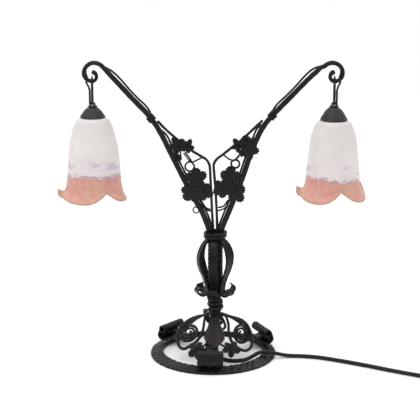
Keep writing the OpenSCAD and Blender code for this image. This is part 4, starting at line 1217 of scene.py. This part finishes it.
# ---------------------------------------------------------------- arms
LARM = [(-6.5, 197.2), (-7.6, 206), (-15.5, 228), (-27, 249.5), (-39.6, 272.5), (-53.8, 301.5), (-68, 330),
        (-77, 349), (-85.5, 364.5), (-94.5, 378), (-106, 391.5), (-119.5, 405.5), (-132.5, 419.5),
        (-146, 434), (-158, 447), (-168.7, 458.85)]
RARM = [(12.9, 197.2), (13.8, 206), (22.6, 228), (31.1, 249.5), (39.5, 271), (48.4, 296), (56.7, 321), (64.5, 341),
        (73, 360), (80.5, 371.5), (89, 382), (101, 394.5), (116, 410), (131, 425.5), (146, 441),
        (157.5, 451.5), (165.6, 459.6)]
LROD = [(0.2, 0, 197.2), (-0.6, 0, 212), (-2, 0, 236), (-3.7, 0, 272), (-5.2, 0, 302), (-7.5, 0, 310),
        (-11.5, 0, 315.6), (-19.5, 0, 320.6), (-33, 0, 328.8), (-47, 0, 339.2), (-58, 0, 348.6), (-68, 0, 357.5), (-76.5, 0, 365.6), (-84.3, 0, 374.2)]
RROD = [(6.2, 0, 197.2), (6, 0, 212), (5.2, 0, 236), (3.2, 0, 272), (0.8, 0, 302), (1.8, 0, 310),
        (6.5, 0, 316.6), (14.5, 0, 322.6), (22.5, 0, 329), (29, 0, 334.2), (42, 0, 344.5), (53, 0, 354.5), (64, 0, 365), (74.6, 0, 375.2)]
HX, HZ = 184.5, 436.0


def hook_line(sgn):
    out = []
    for cx_, cz_, R, a0, a1 in ((-180.5, 448, 16, 44, 180), (-184.5, 448, 12, 183, 270), (-184.5, 443, 7, 275, 432)):
        n = max(int(abs(a1 - a0) / 5), 4)
        for w in np.radians(np.linspace(a0, a1, n)):
            out.append((cx_ + R * math.cos(w), cz_ + R * math.sin(w)))
    out = A(out)
    out[:, 0] *= -sgn
    return out


for nm, L2, sgn, sd in (("left_arm", LARM, -1, 81), ("right_arm", RARM, 1, 84)):
    H = hook_line(sgn)
    body = spline(L2, 10)[:-4]
    line = resample(np.concatenate([body, H]), 1.15)
    s = arclen(line)
    s_arm = arclen(np.concatenate([body, H]))[len(body)]
    tot = s[-1]
    a_half = np.interp(s, [0, 20, s_arm - 60, s_arm - 6, s_arm + 14, s_arm + 60, tot - 30, tot - 7, tot - 1.5, tot], [4.4, 4.35, 3.95, 3.75, 3.5, 3.25, 3.0, 2.9, 3.75, 3.7])
    y_half = np.interp(s, [0, s_arm - 70, s_arm - 8, s_arm + 12, s_arm + 60, tot - 30, tot - 7, tot - 1.5, tot], [4.0, 4.0, 3.9, 3.5, 3.25, 3.0, 2.9, 3.75, 3.7])
    rad = np.interp(s, [0, s_arm - 60, s_arm - 10, s_arm + 8], [1.5, 1.7, 2.6, 3.5])
    rad = np.minimum(rad, np.minimum(a_half, y_half) - 0.02)
    P3 = np.stack([line[:, 0], np.zeros(len(line)), line[:, 1]], 1)

    def ridge(X, Y, tx, ty, a_half=a_half, s=s, s_arm=s_arm):
        # a low ridge along the middle of each broad face, as left by drawing the bar down
        k = np.interp(s, [0, s_arm - 20, s_arm + 10], [0.45, 0.4, 0.0])[:, None]
        return X + np.sign(X) * k * np.clip(1 - np.abs(Y) / np.maximum(a_half[:, None] * 0.7, 1), 0, 1) * (np.abs(cx0) > 0.3), Y

    tx0, ty0, cx0, cy0 = rrect(5, 8, 4)
    g = Geo()
    bar(g, P3, y_half, a_half, rad, (0, 1, 0), na=5, nb=8, nc=4, dome=(0.6, 2.6), push=ridge)
    forge(g, 0.26, 6.5, 0.2, 12, 0.05, sd)
    make("iron_" + nm, g, "frame", "black_iron_mat", nm)

for nm, L3, sd in (("left_inner_rod", LROD, 91), ("right_inner_rod", RROD, 92)):
    g = Geo()
    wire(g, L3, 2.2, n=14, step=1.2)
    forge(g, 0.16, 4.5, 0.16, 8, 0.04, sd)
    make("iron_" + nm, g, "frame", "black_iron_mat", nm)

# bands: three flat turns round bar, rod and lead
for nm, cx_, cz_, ang, sd in (("left_arm_clip", -95.3, 379, 131, 95), ("right_arm_clip", 90.2, 383.3, 46.5, 96)):
    d = A([math.cos(math.radians(ang)), 0, math.sin(math.radians(ang))])
    nn = A([-math.sin(math.radians(ang)), 0, math.cos(math.radians(ang))])
    g = Geo()
    for o_, wd in ((-3.35, 1.55), (0, 1.6), (3.35, 1.55)):
        loop = []
        for k in range(72):
            w = k / 72 * 2 * math.pi
            c1, s1 = math.cos(w), math.sin(w)
            loop.append(A([cx_, 0, cz_]) + d * o_ + A([0, 1, 0]) * 5.25 * np.sign(c1) * abs(c1) ** 0.5 + nn * 5.6 * np.sign(s1) * abs(s1) ** 0.5)
        bar(g, A(loop), wd, 0.85, 0.6, d, closed=True)
    forge(g, 0.15, 3.5, 0.12, 5, 0.04, sd)
    make("iron_" + nm, g, "frame", "black_iron_mat", nm)

# leaves of the arms
def sprig(name, items, stalks, seed):
    g = Geo()
    for k, (kind, x, y, z, s, tilt, kw) in enumerate(items):
        add_leaf(g, kind, (x, y - 0.8, z), s, facing(tilt), seed + k, **kw)
    for P, r in stalks:
        wire(g, P, r, n=10, step=1.2)
    make("iron_" + name, g, "frame", "black_iron_mat", name)


sprig("left_leaves", [("maple", -54.5, -4.6, 337, 14.6, 28, dict(cup=0.08)), ("maple", -40, -6.0, 336.5, 11.4, -30, dict(cup=0.05)),
                      ("ovate", -55.5, -6.8, 321, 8.8, 150, {}),
                      ("full", -26.5, -5.2, 285.5, 16.8, 4, dict(cup=0.14)), ("full", -32.8, -6.6, 264.5, 16.4, 136, dict(cup=0.14)),
                      ("full", -15.0, -7.6, 267.5, 15.2, -120, dict(cup=0.14))],
      [([(-54, -4.6, 334), (-51, -3, 328), (-50, 0, 322)], 1.3), ([(-41, -5, 334), (-43, -2.5, 336.5), (-45, 0, 337.5)], 1.2),
       ([(-26.5, -7, 277), (-25.5, -5.5, 272.5), (-31, -2, 264)], 1.6), ([(-23, -7.4, 270), (-19, -6.5, 269), (-12, -5, 268)], 1.4)], 101)
sprig("right_leaves", [("maple", 38.5, -5.8, 337.5, 11.4, 34, dict(cup=0.05)), ("maple", 54.2, -4.8, 330.5, 17.0, -26, dict(cup=0.08)),
                       ("ovate", 50, -7.2, 345.5, 8.8, 14, {}),
                       ("full", 25.5, -5.2, 287, 17.0, -6, dict(cup=0.14)), ("full", 14, -6.8, 270.5, 14.8, 116, dict(cup=0.14)),
                       ("full", 34.0, -7.4, 264.5, 16.6, -136, dict(cup=0.14))],
      [([(54, -4.8, 327), (56, -3, 322), (57, 0, 318)], 1.3), ([(40, -5, 336), (41, -2.5, 341), (42, 0, 343.5)], 1.2),
       ([(25, -7, 278), (26, -5.5, 272.5), (32, -2, 258)], 1.6), ([(22, -7.2, 273), (18, -6.5, 271), (12, -5, 270)], 1.4)], 121)


def ringlet(x, y, z, r, a0, a1, n, dy=0.0):
    return [(x + r * math.cos(math.radians(a0 + (a1 - a0) * k / n)), y + dy * k / n, z + r * math.sin(math.radians(a0 + (a1 - a0) * k / n))) for k in range(n + 1)]


g = Geo()
wire(g, [(-43, -2, 326), (-37, -2, 318), (-31.5, -2, 309)] + ringlet(-36.4, -2, 304, 7, 20, -300, 14, 3.6) + [(-28, 0.6, 312.6), (-20.6, 0, 316.4), (-18.2, 0.2, 317.6)], [1.35, 1.5, 1.5, 1.3], n=12, step=1.0)
wire(g, [(-45.6, -1.6, 325), (-40.5, -1.6, 318), (-36.5, -1.4, 312.6)], [1.0, 1.1], n=10, step=1.0)
wire(g, [(-19.5, -2.6, 252), (-15.5, -2, 245), (-10.8, -0.8, 238.6), (-5.2, 0, 236)], 1.4, n=10, step=1.0)
wire(g, [(-23.5, -2.6, 249), (-18.5, -2, 243), (-11.5, -1.2, 236.4), (-4.4, 0, 233)], 1.2, n=10, step=1.0)
wire(g, [(-25, -6, 246.5)] + ringlet(-26.5, -6, 236.5, 4.8, 70, 330, 10), [1.2, 1.0], n=10, step=0.8)
make("iron_left_tendrils", g, "frame", "black_iron_mat", "left_tendrils")
g = Geo()
wire(g, [(16.0, 0.2, 322), (18.8, 0, 320), (24, -3, 316.4), (28, -6, 315.4)] + ringlet(34, -6.8, 309, 6.4, 120, -560, 34, 5.8) + [(37.6, -1.4, 318), (42, -2, 326)], [1.3, 1.5, 1.5, 1.3], n=12, step=0.9)
wire(g, [(34.5, -1.5, 316.5), (38.5, -1.8, 321), (43.5, -2, 327.5)], [1.0, 1.1], n=10, step=1.0)
wire(g, [(22.4, -2, 250.6), (16.4, -1, 241.8), (8.4, 0, 239)], 1.4, n=10, step=1.0)
wire(g, [(22, -2, 243.6), (16.4, -1, 237.2), (8.4, 0, 234.2)], 1.3, n=10, step=1.0)
make("iron_right_tendrils", g, "frame", "black_iron_mat", "right_tendrils")


# ---------------------------------------------------------------- leads
def arm_lead(P2, s):
    P2 = A(P2)
    T = np.zeros_like(P2)
    m = len(P2) - 1
    for i in range(m + 1):
        T[i] = P2[min(i + 1, m)] - P2[max(i - 1, 0)]
    T = norm(T)

    def beside(i, o, y):
        t_ = T[i]
        nn = (t_[1], -t_[0]) if t_[0] < 0 else (-t_[1], t_[0])
        return (P2[i, 0] + nn[0] * o, y, P2[i, 1] + nn[1] * o)

    k = m - 6
    bx = HX + 4 - 8
    pts = [(SX + s * 4, 9.4, 197.6), (SX + s * 6, 8.4, 208)]
    pts += [beside(i, 6.0, 1.2 + (2.4 if i == 2 else 0)) for i in range(2, k - 2)]
    pts += [beside(k - 2, 6, 5.8), beside(k - 1, 0, 9), beside(k, 1.5, 9), beside(k + 1, 6, 5.6)]
    pts += [beside(i, 6.2, 0.6) for i in range(k + 2, m - 2)]
    pts += [beside(m - 2, 6.8, 3), beside(m - 1, 5.2, 6)]
    for a in range(50, 211, 32):
        w = math.radians(a)
        f = 0.9 if a > 170 else 1
        pts.append((s * (bx - 15.4 * math.cos(w) * f), 6, 448 + 15.4 * math.sin(w) * f))
    return pts


for sgn, side, L2 in ((-1, "left", LARM), (1, "right", RARM)):
    pts = arm_lead(L2, sgn)
    g = Geo()
    wire(g, curve(pts, 1.4), 1.6, n=12, raw=True)
    make("flex_%s_arm_lead" % side, g, "frame", "cable_mat", side + "_arm_lead")
    end = A(pts[-1])
    before = A(pts[-2])
    xd = sgn * (HX + 3.3)
    # from behind the hook, under it, to the front of the link
    g = Geo()
    P = [tuple(before), tuple(end), (sgn * 193.6, 3.4, 434.6), (sgn * 191.2, -1.2, 430.6), (sgn * 189.2, -4.6, 427.6), (xd, -5.7, 422), (xd, -5.7, 416)]
    Q = curve(P, 1.0)
    Q = Q[int(len(curve(P[:2], 1.0))) - 3:]
    wire(g, Q, 1.55, n=12, raw=True)
    o = make("flex_%s_hook_lead" % side, g, None, "cable_mat")
    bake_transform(o)
    g = Geo()
    wire(g, A([(xd, -5.7, z) for z in np.linspace(420, 403.5, 14)]), 1.6, n=12, raw=True)
    make("flex_%s_drop_lead" % side, g, side + "_link", "cable_mat", side + "_drop_lead")
    g = Geo()
    wire(g, A([(xd, -5.7, z) for z in np.linspace(406, 389.5, 18)]), 1.55, n=12, raw=True)
    o = make("flex_%s_cap_lead" % side, g, None, "cable_mat")
    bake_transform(o)

    # link: one bent wire, its end turned up beside the hook
    x0 = sgn * HX
    g = Geo()
    P = []
    for w in np.radians(np.linspace(0, 180, 19)):
        P.append((x0, 5.3 * math.cos(w), HZ + 5.3 * math.sin(w)))
    for z in np.linspace(HZ - 3, 408, 9):
        P.append((x0, -5.3, z))
    for w in np.radians(np.linspace(180, 360, 19)):
        P.append((x0, 5.3 * math.cos(w), 405.3 + 5.3 * math.sin(w)))
    for z in np.linspace(408, HZ - 3, 9):
        P.append((x0, 5.3, z))
    P = A(P)
    Q = resample(spline(np.concatenate([P, P[:1]]), 3), 0.8)[:-1]
    c, s = circle(14)
    v, q, t = sweep(Q, 1.5 * c, 1.5 * s, (1, 0, 0), True, True)
    g.add(v, q, t)
    wire(g, [(x0, -3.6, 439.6), (x0 - sgn * 0.3, -1.6, 442.4), (x0 - sgn * 0.5, -0.4, 444.3)], [1.3, 0.9], n=10, step=0.6)
    forge(g, 0.10, 2.6, 0.07, 4, 0.03, 140 + sgn)
    make("iron_%s_link" % side, g, side + "_link", "black_iron_mat", side + "_link")

# ---------------------------------------------------------------- caps, holders, rings, bulbs
for side, sgn, zs, R in (("left", -1, 377.0, 19.8), ("right", 1, 373.0, 21.4)):
    x0 = sgn * HX
    zb = zs + 4.4
    h = 396.6 - zb
    body = side + "_pendant"
    g = Geo()
    outer = spline([(3.0, zb + h + 0.7), (5.8, zb + h + 0.3), (9.4, zb + h - 1.8), (R * 0.64, zb + h * 0.67), (R * 0.80, zb + h * 0.39), (R * 0.93, zb + h * 0.15), (R, zb + 0.3)], 8)
    inner = spline([(R - 1.4, zb), (R * 0.80 - 1.2, zb + h * 0.39 - 1.0), (R * 0.64 - 1.1, zb + h * 0.67 - 1.3), (8.6, zb + h - 4.4), (3.0, zb + h - 2.8)], 8)
    lathe(g, np.concatenate([outer, inner]), (x0, 0), 96, step=0.8)
    forge(g, 0.30, 4.4, 0.14, 7, 0.06, 150 + sgn)
    # eye
    a = np.arange(60) / 60 * 2 * math.pi
    P = np.stack([x0 + 3.55 * np.cos(a), 0 * a, 400 + 3.55 * np.sin(a)], 1)
    c, s = circle(14)
    v, q, t = sweep(P, 1.45 * c, 1.45 * s, (0, 1, 0), True, True)
    g.add(v, q, t)
    # ragged collar of small bent tabs round the eye
    rng = np.random.RandomState(7 + sgn)
    for k in range(9):
        w0 = k / 9 * 2 * math.pi + rng.uniform(-0.12, 0.12)
        d = A([math.cos(w0), math.sin(w0), 0])
        tn = A([-math.sin(w0), math.cos(w0), 0])
        hgt = rng.uniform(1.2, 2.2)
        P = A([A([x0, 0, 395.2]) + d * 4.6, A([x0, 0, 396.6]) + d * 5.2, A([x0, 0, 396.9 + hgt * 0.45]) + d * (6.2 + rng.uniform(0, 0.4)), A([x0, 0, 396.8 + hgt * 0.8]) + d * (7.3 + rng.uniform(0, 0.8))])
        P = curve(P, 0.5)
        wd = np.interp(np.linspace(0, 1, len(P)), [0, 0.5, 1], [1.7, 1.5, 0.5])
        bar(g, P, wd, 0.5, 0.35, tn, na=6, nb=1, nc=2, dome=(0.2, 0.25))
    make("iron_%s_cap" % side, g, body, "cap_iron_mat", side + "_cap")

    # lamp holder with ribbed skirt
    z = zs
    g = Geo()
    prof = [(7.7, z - 24.9), (12.4, z - 24.9), (12.9, z - 24.4)]
    for k in range(12):
        zz_ = z - 23.6 + k * 1.5
        prof += [(12.95, zz_), (12.95, zz_ + 0.45), (12.35, zz_ + 0.75), (12.35, zz_ + 1.2)]
    prof += [(12.9, z - 5.0), (12.9, z + 7.0), (12.3, z + 7.9), (5.2, z + 8.0), (4.9, z + 8.6), (4.9, 390.9), (4.5, 391.4), (0.6, 391.4), (0.6, z - 0.2), (7.7, z - 0.4)]
    lathe(g, prof, (x0, 0), 72)
    make("moulded_%s_holder" % side, g, body, "ivory_mat", side + "_holder")

    # shade ring: knurled flange with a threaded skirt
    g = Geo()
    n = 144
    a = np.arange(n) / n * 2 * math.pi
    kn = 0.35 * (np.sin(a * 36) > 0)
    prof = [(13.15, z - 7.9), (15.2, z - 7.9), (15.5, z - 7.5), (15.5, z - 3.2), (17.6, z - 3.15), (18.6, z - 2.9), (18.95, z - 2.4), (18.95, z - 0.8), (18.6, z - 0.2), (17.8, z - 0.03), (13.15, z - 0.03)]
    p = A(prof)
    V = np.stack([x0 + (p[:, 0, None] - kn * (p[:, 0, None] > 18)) * np.cos(a), (p[:, 0, None] - kn * (p[:, 0, None] > 18)) * np.sin(a), np.repeat(p[:, 1, None], n, 1)], -1)
    g.add(V.reshape(-1, 3), grid_faces(len(p), n, close_rows=True))
    make("moulded_%s_ring" % side, g, body, "ivory_mat", side + "_shade_ring")

    # bulb
    g = Geo()
    prof = spline([(0, z - 26.2), (8.4, z - 26.2), (9.6, z - 30), (13.4, z - 38), (16.5, z - 47), (17.35, z - 56), (16.3, z - 65), (12.9, z - 72), (7.5, z - 77.2), (0, z - 79.4)], 6)
    prof[:, 0] = np.maximum(prof[:, 0], 0)
    lathe(g, prof, (x0, 0), 64, closed=False)
    make("opal_%s_bulb" % side, g, body, "bulb_mat", side + "_bulb_glass")
    g = Geo()
    zz_ = np.arange(z - 25.9, z - 5.0, 0.35)
    a = np.arange(48) / 48 * 2 * math.pi
    rad = 6.35 + 0.45 * np.sin((zz_[:, None] - a / (2 * math.pi) * 2.8) / 2.8 * 2 * math.pi)
    V = np.stack([x0 + rad * np.cos(a), rad * np.sin(a), np.repeat(zz_[:, None], 48, 1)], -1)
    top = [(5.6, z - 4.2), (4.2, z - 3.2), (2.9, z - 2.9), (2.6, z - 1.0), (1.6, z - 0.35)]
    V2 = np.stack([[x0 + r_ * np.cos(a), r_ * np.sin(a), np.full(48, h_)] for r_, h_ in top]).transpose(0, 2, 1)
    V = np.concatenate([V, V2])
    rows = np.concatenate([V.reshape(-1, 3), [[x0, 0, z - 25.9]], [[x0, 0, z - 0.3]]])
    j = np.arange(48)
    m_ = len(V)
    q = grid_faces(m_, 48)
    t = np.concatenate([np.stack([np.full(48, m_ * 48), (j + 1) % 48, j], 1), np.stack([np.full(48, m_ * 48 + 1), (m_ - 1) * 48 + j, (m_ - 1) * 48 + (j + 1) % 48], 1)])
    g.add(rows, q, t)
    make("threaded_%s_bulb_base" % side, g, body, "brass_mat", side + "_bulb_base")

# ---------------------------------------------------------------- shades
SH = {
    "left": dict(z=377.0, x=-HX, notches=(-62, 40, 122, 204), swing=(0, 0, 0, 1.5),
                 body=[(13.9, -3), (17, -3), (20.5, -2.8), (25.0, 0.8), (28.2, 7.5), (31.4, 15.5), (34.2, 26.5), (37.2, 40), (38.9, 53), (39.8, 66), (40.5, 80)],
                 notch=[(40.5, 80), (41.8, 92), (44.0, 101), (47.6, 105.2), (52.2, 104.6), (56.4, 101.2)],
                 lobe=[(40.5, 80), (41.7, 94), (43.3, 105), (45.2, 113), (47.6, 119), (49.8, 122.4)], rims=(50, 46.5, 50, 57), mat="left_glass_mat"),
    "right": dict(z=373.0, x=HX, notches=(-78, 34, 112, 190), swing=(0, 0, 0, 0),
                  body=[(13.9, -3), (17, -3), (21.0, -2.8), (26.3, 0.6), (29.6, 7.5), (32.4, 15), (34.6, 22.5), (36.6, 38), (38.1, 50), (39.4, 63), (40.6, 76)],
                  notch=[(40.6, 76), (41.6, 87), (43.6, 95), (46.8, 98.8), (50.8, 98.4), (54.6, 95.2)],
                  lobe=[(40.6, 76), (41.7, 90), (43.2, 101), (45.2, 109), (48.0, 115), (50.6, 118.2)], rims=(47, 54, 50, 55.5), mat="right_glass_mat"),
}
for side, S in SH.items():
    nphi = 288
    phi = np.arange(nphi) / nphi * 360.0 - 180.0
    nts = np.array(S["notches"], float)
    ext = np.concatenate([nts - 360, nts, nts + 360])
    e = np.zeros(nphi)
    gap_i = np.zeros(nphi, int)
    for i, p_ in enumerate(phi):
        k = int(np.searchsorted(ext, p_, side='right') - 1)
        t_ = (p_ - ext[k]) / (ext[k + 1] - ext[k])
        e[i] = 1 - abs(2 * t_ - 1)
        gap_i[i] = (k if t_ < 0.5 else k + 1) % 4
    f = 1 - (1 - e) ** 2.7
    f = np.convolve(np.concatenate([f[-3:], f, f[:3]]), np.ones(5) / 5, 'same')[3:-3]
    # the radius eases slowly from a notch to a lobe, the depth quickly
    fr = 0.5 - 0.5 * np.cos(np.pi * e)
    r_in, r_out = S["notch"][0][0], S["notch"][-1][0]
    stretch = (np.array(S["rims"], float)[gap_i] - r_in) / (r_out - r_in)
    up_ = curve(S["body"], 1.9)
    N_ = spline(S["notch"], 10)
    L_ = spline(S["lobe"], 10)
    q_ = np.linspace(0, 1, 30)
    sN, sL = arclen(N_) / arclen(N_)[-1], arclen(L_) / arclen(L_)[-1]
    N_ = np.stack([np.interp(q_, sN, N_[:, k]) for k in (0, 1)], 1)
    L_ = np.stack([np.interp(q_, sL, L_[:, k]) for k in (0, 1)], 1)
    rng = np.random.RandomState(5 if side == "left" else 9)
    lob_r = 1 + 0.012 * np.sin(np.radians(phi) * 4 + 1.0)
    rows = []
    for rz_ in up_:
        rows.append(np.stack([np.full(nphi, rz_[0]), np.full(nphi, rz_[1])], 1))
    for k in range(1, 30):
        rad_ = (r_in + (N_[k, 0] - r_in) * stretch) * (1 - fr) + L_[k, 0] * fr
        dep_ = N_[k, 1] * (1 - f) + L_[k, 1] * f
        rows.append(np.stack([rad_, dep_], 1))
    rows = A(rows)                       # row, phi, (r, depth)
    w = np.radians(phi)
    # slight out of round, as moulded
    oval = 1 + 0.006 * np.cos(2 * w + 0.6) + 0.004 * np.cos(3 * w)
    X = rows[..., 0] * oval * np.cos(w)
    Y = rows[..., 0] * oval * np.sin(w)
    Z = -rows[..., 1]
    outer = np.stack([X, Y, Z], -1)
    dr = np.gradient(outer, axis=0)
    dphi = (np.roll(outer, -1, 1) - np.roll(outer, 1, 1))
    nn = norm(np.cross(dphi, dr))
    flip = np.sign((nn[..., 0] * np.cos(w) + nn[..., 1] * np.sin(w))[len(up_) + 5].mean())
    nn = nn * flip
    nr_ = len(rows)
    thick = np.interp(np.arange(nr_), [0, 4, nr_ - 12, nr_ - 1], [3.0, 3.0, 2.9, 2.5])[:, None, None]
    # soft surface waviness of pressed glass
    fl = outer.reshape(-1, 3)
    wv = (0.22 * noise(fl + 300, 17, 3) + 0.10 * noise(fl + 300, 6, 4)).reshape(nr_, nphi)
    fade = np.interp(np.arange(nr_), [0, 8, 14], [0, 0, 1])[:, None]
    outer = outer + nn * (wv * fade)[..., None]
    inner = outer - nn * thick
    inner[:6, :, 2] = np.where(rows[:6, :, 0] < 24, 0.0, inner[:6, :, 2])
    # the hole's wall stays upright
    inner[0] = outer[0] + A([0, 0, 3.0]) * -1
    T_end = norm(outer[-1] - outer[-2])
    mid = (outer[-1] + inner[-1]) / 2
    half = (outer[-1] - inner[-1]) / 2
    lip = [mid + half * math.cos(a_) + T_end * 1.3 * math.sin(a_) for a_ in np.radians([30, 60, 90, 120, 150])]
    allr = np.concatenate([outer, A(lip), inner[::-1]])
    dist = np.linalg.norm(np.diff(outer, axis=0), axis=2)
    rim = np.concatenate([np.cumsum(dist[::-1], 0)[::-1], np.zeros((1, nphi))])
    rim_all = np.concatenate([rim, np.zeros((5, nphi)), rim[::-1]])
    no = np.broadcast_to((1 - f)[None], rim_all.shape)
    V = allr + A([S["x"], 0, S["z"]])
    g = Geo()
    g.add(V.reshape(-1, 3), grid_faces(len(allr), nphi, close_rows=True), rim_d=rim_all.ravel(), notch=no.ravel())
    make("frosted_%s_shade" % side, g, side + "_pendant", S["mat"], side + "_shade")

# ---------------------------------------------------------------- CAD pieces that stay, with their finish
for nm, mt in (("stem_tube", "black_iron_mat"), ("stem_lock_nut", "cap_iron_mat"), ("cable_bush", "rubber_mat")):
    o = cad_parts[nm]
    o.data.materials.clear()
    o.data.materials.append(MATS[mt])
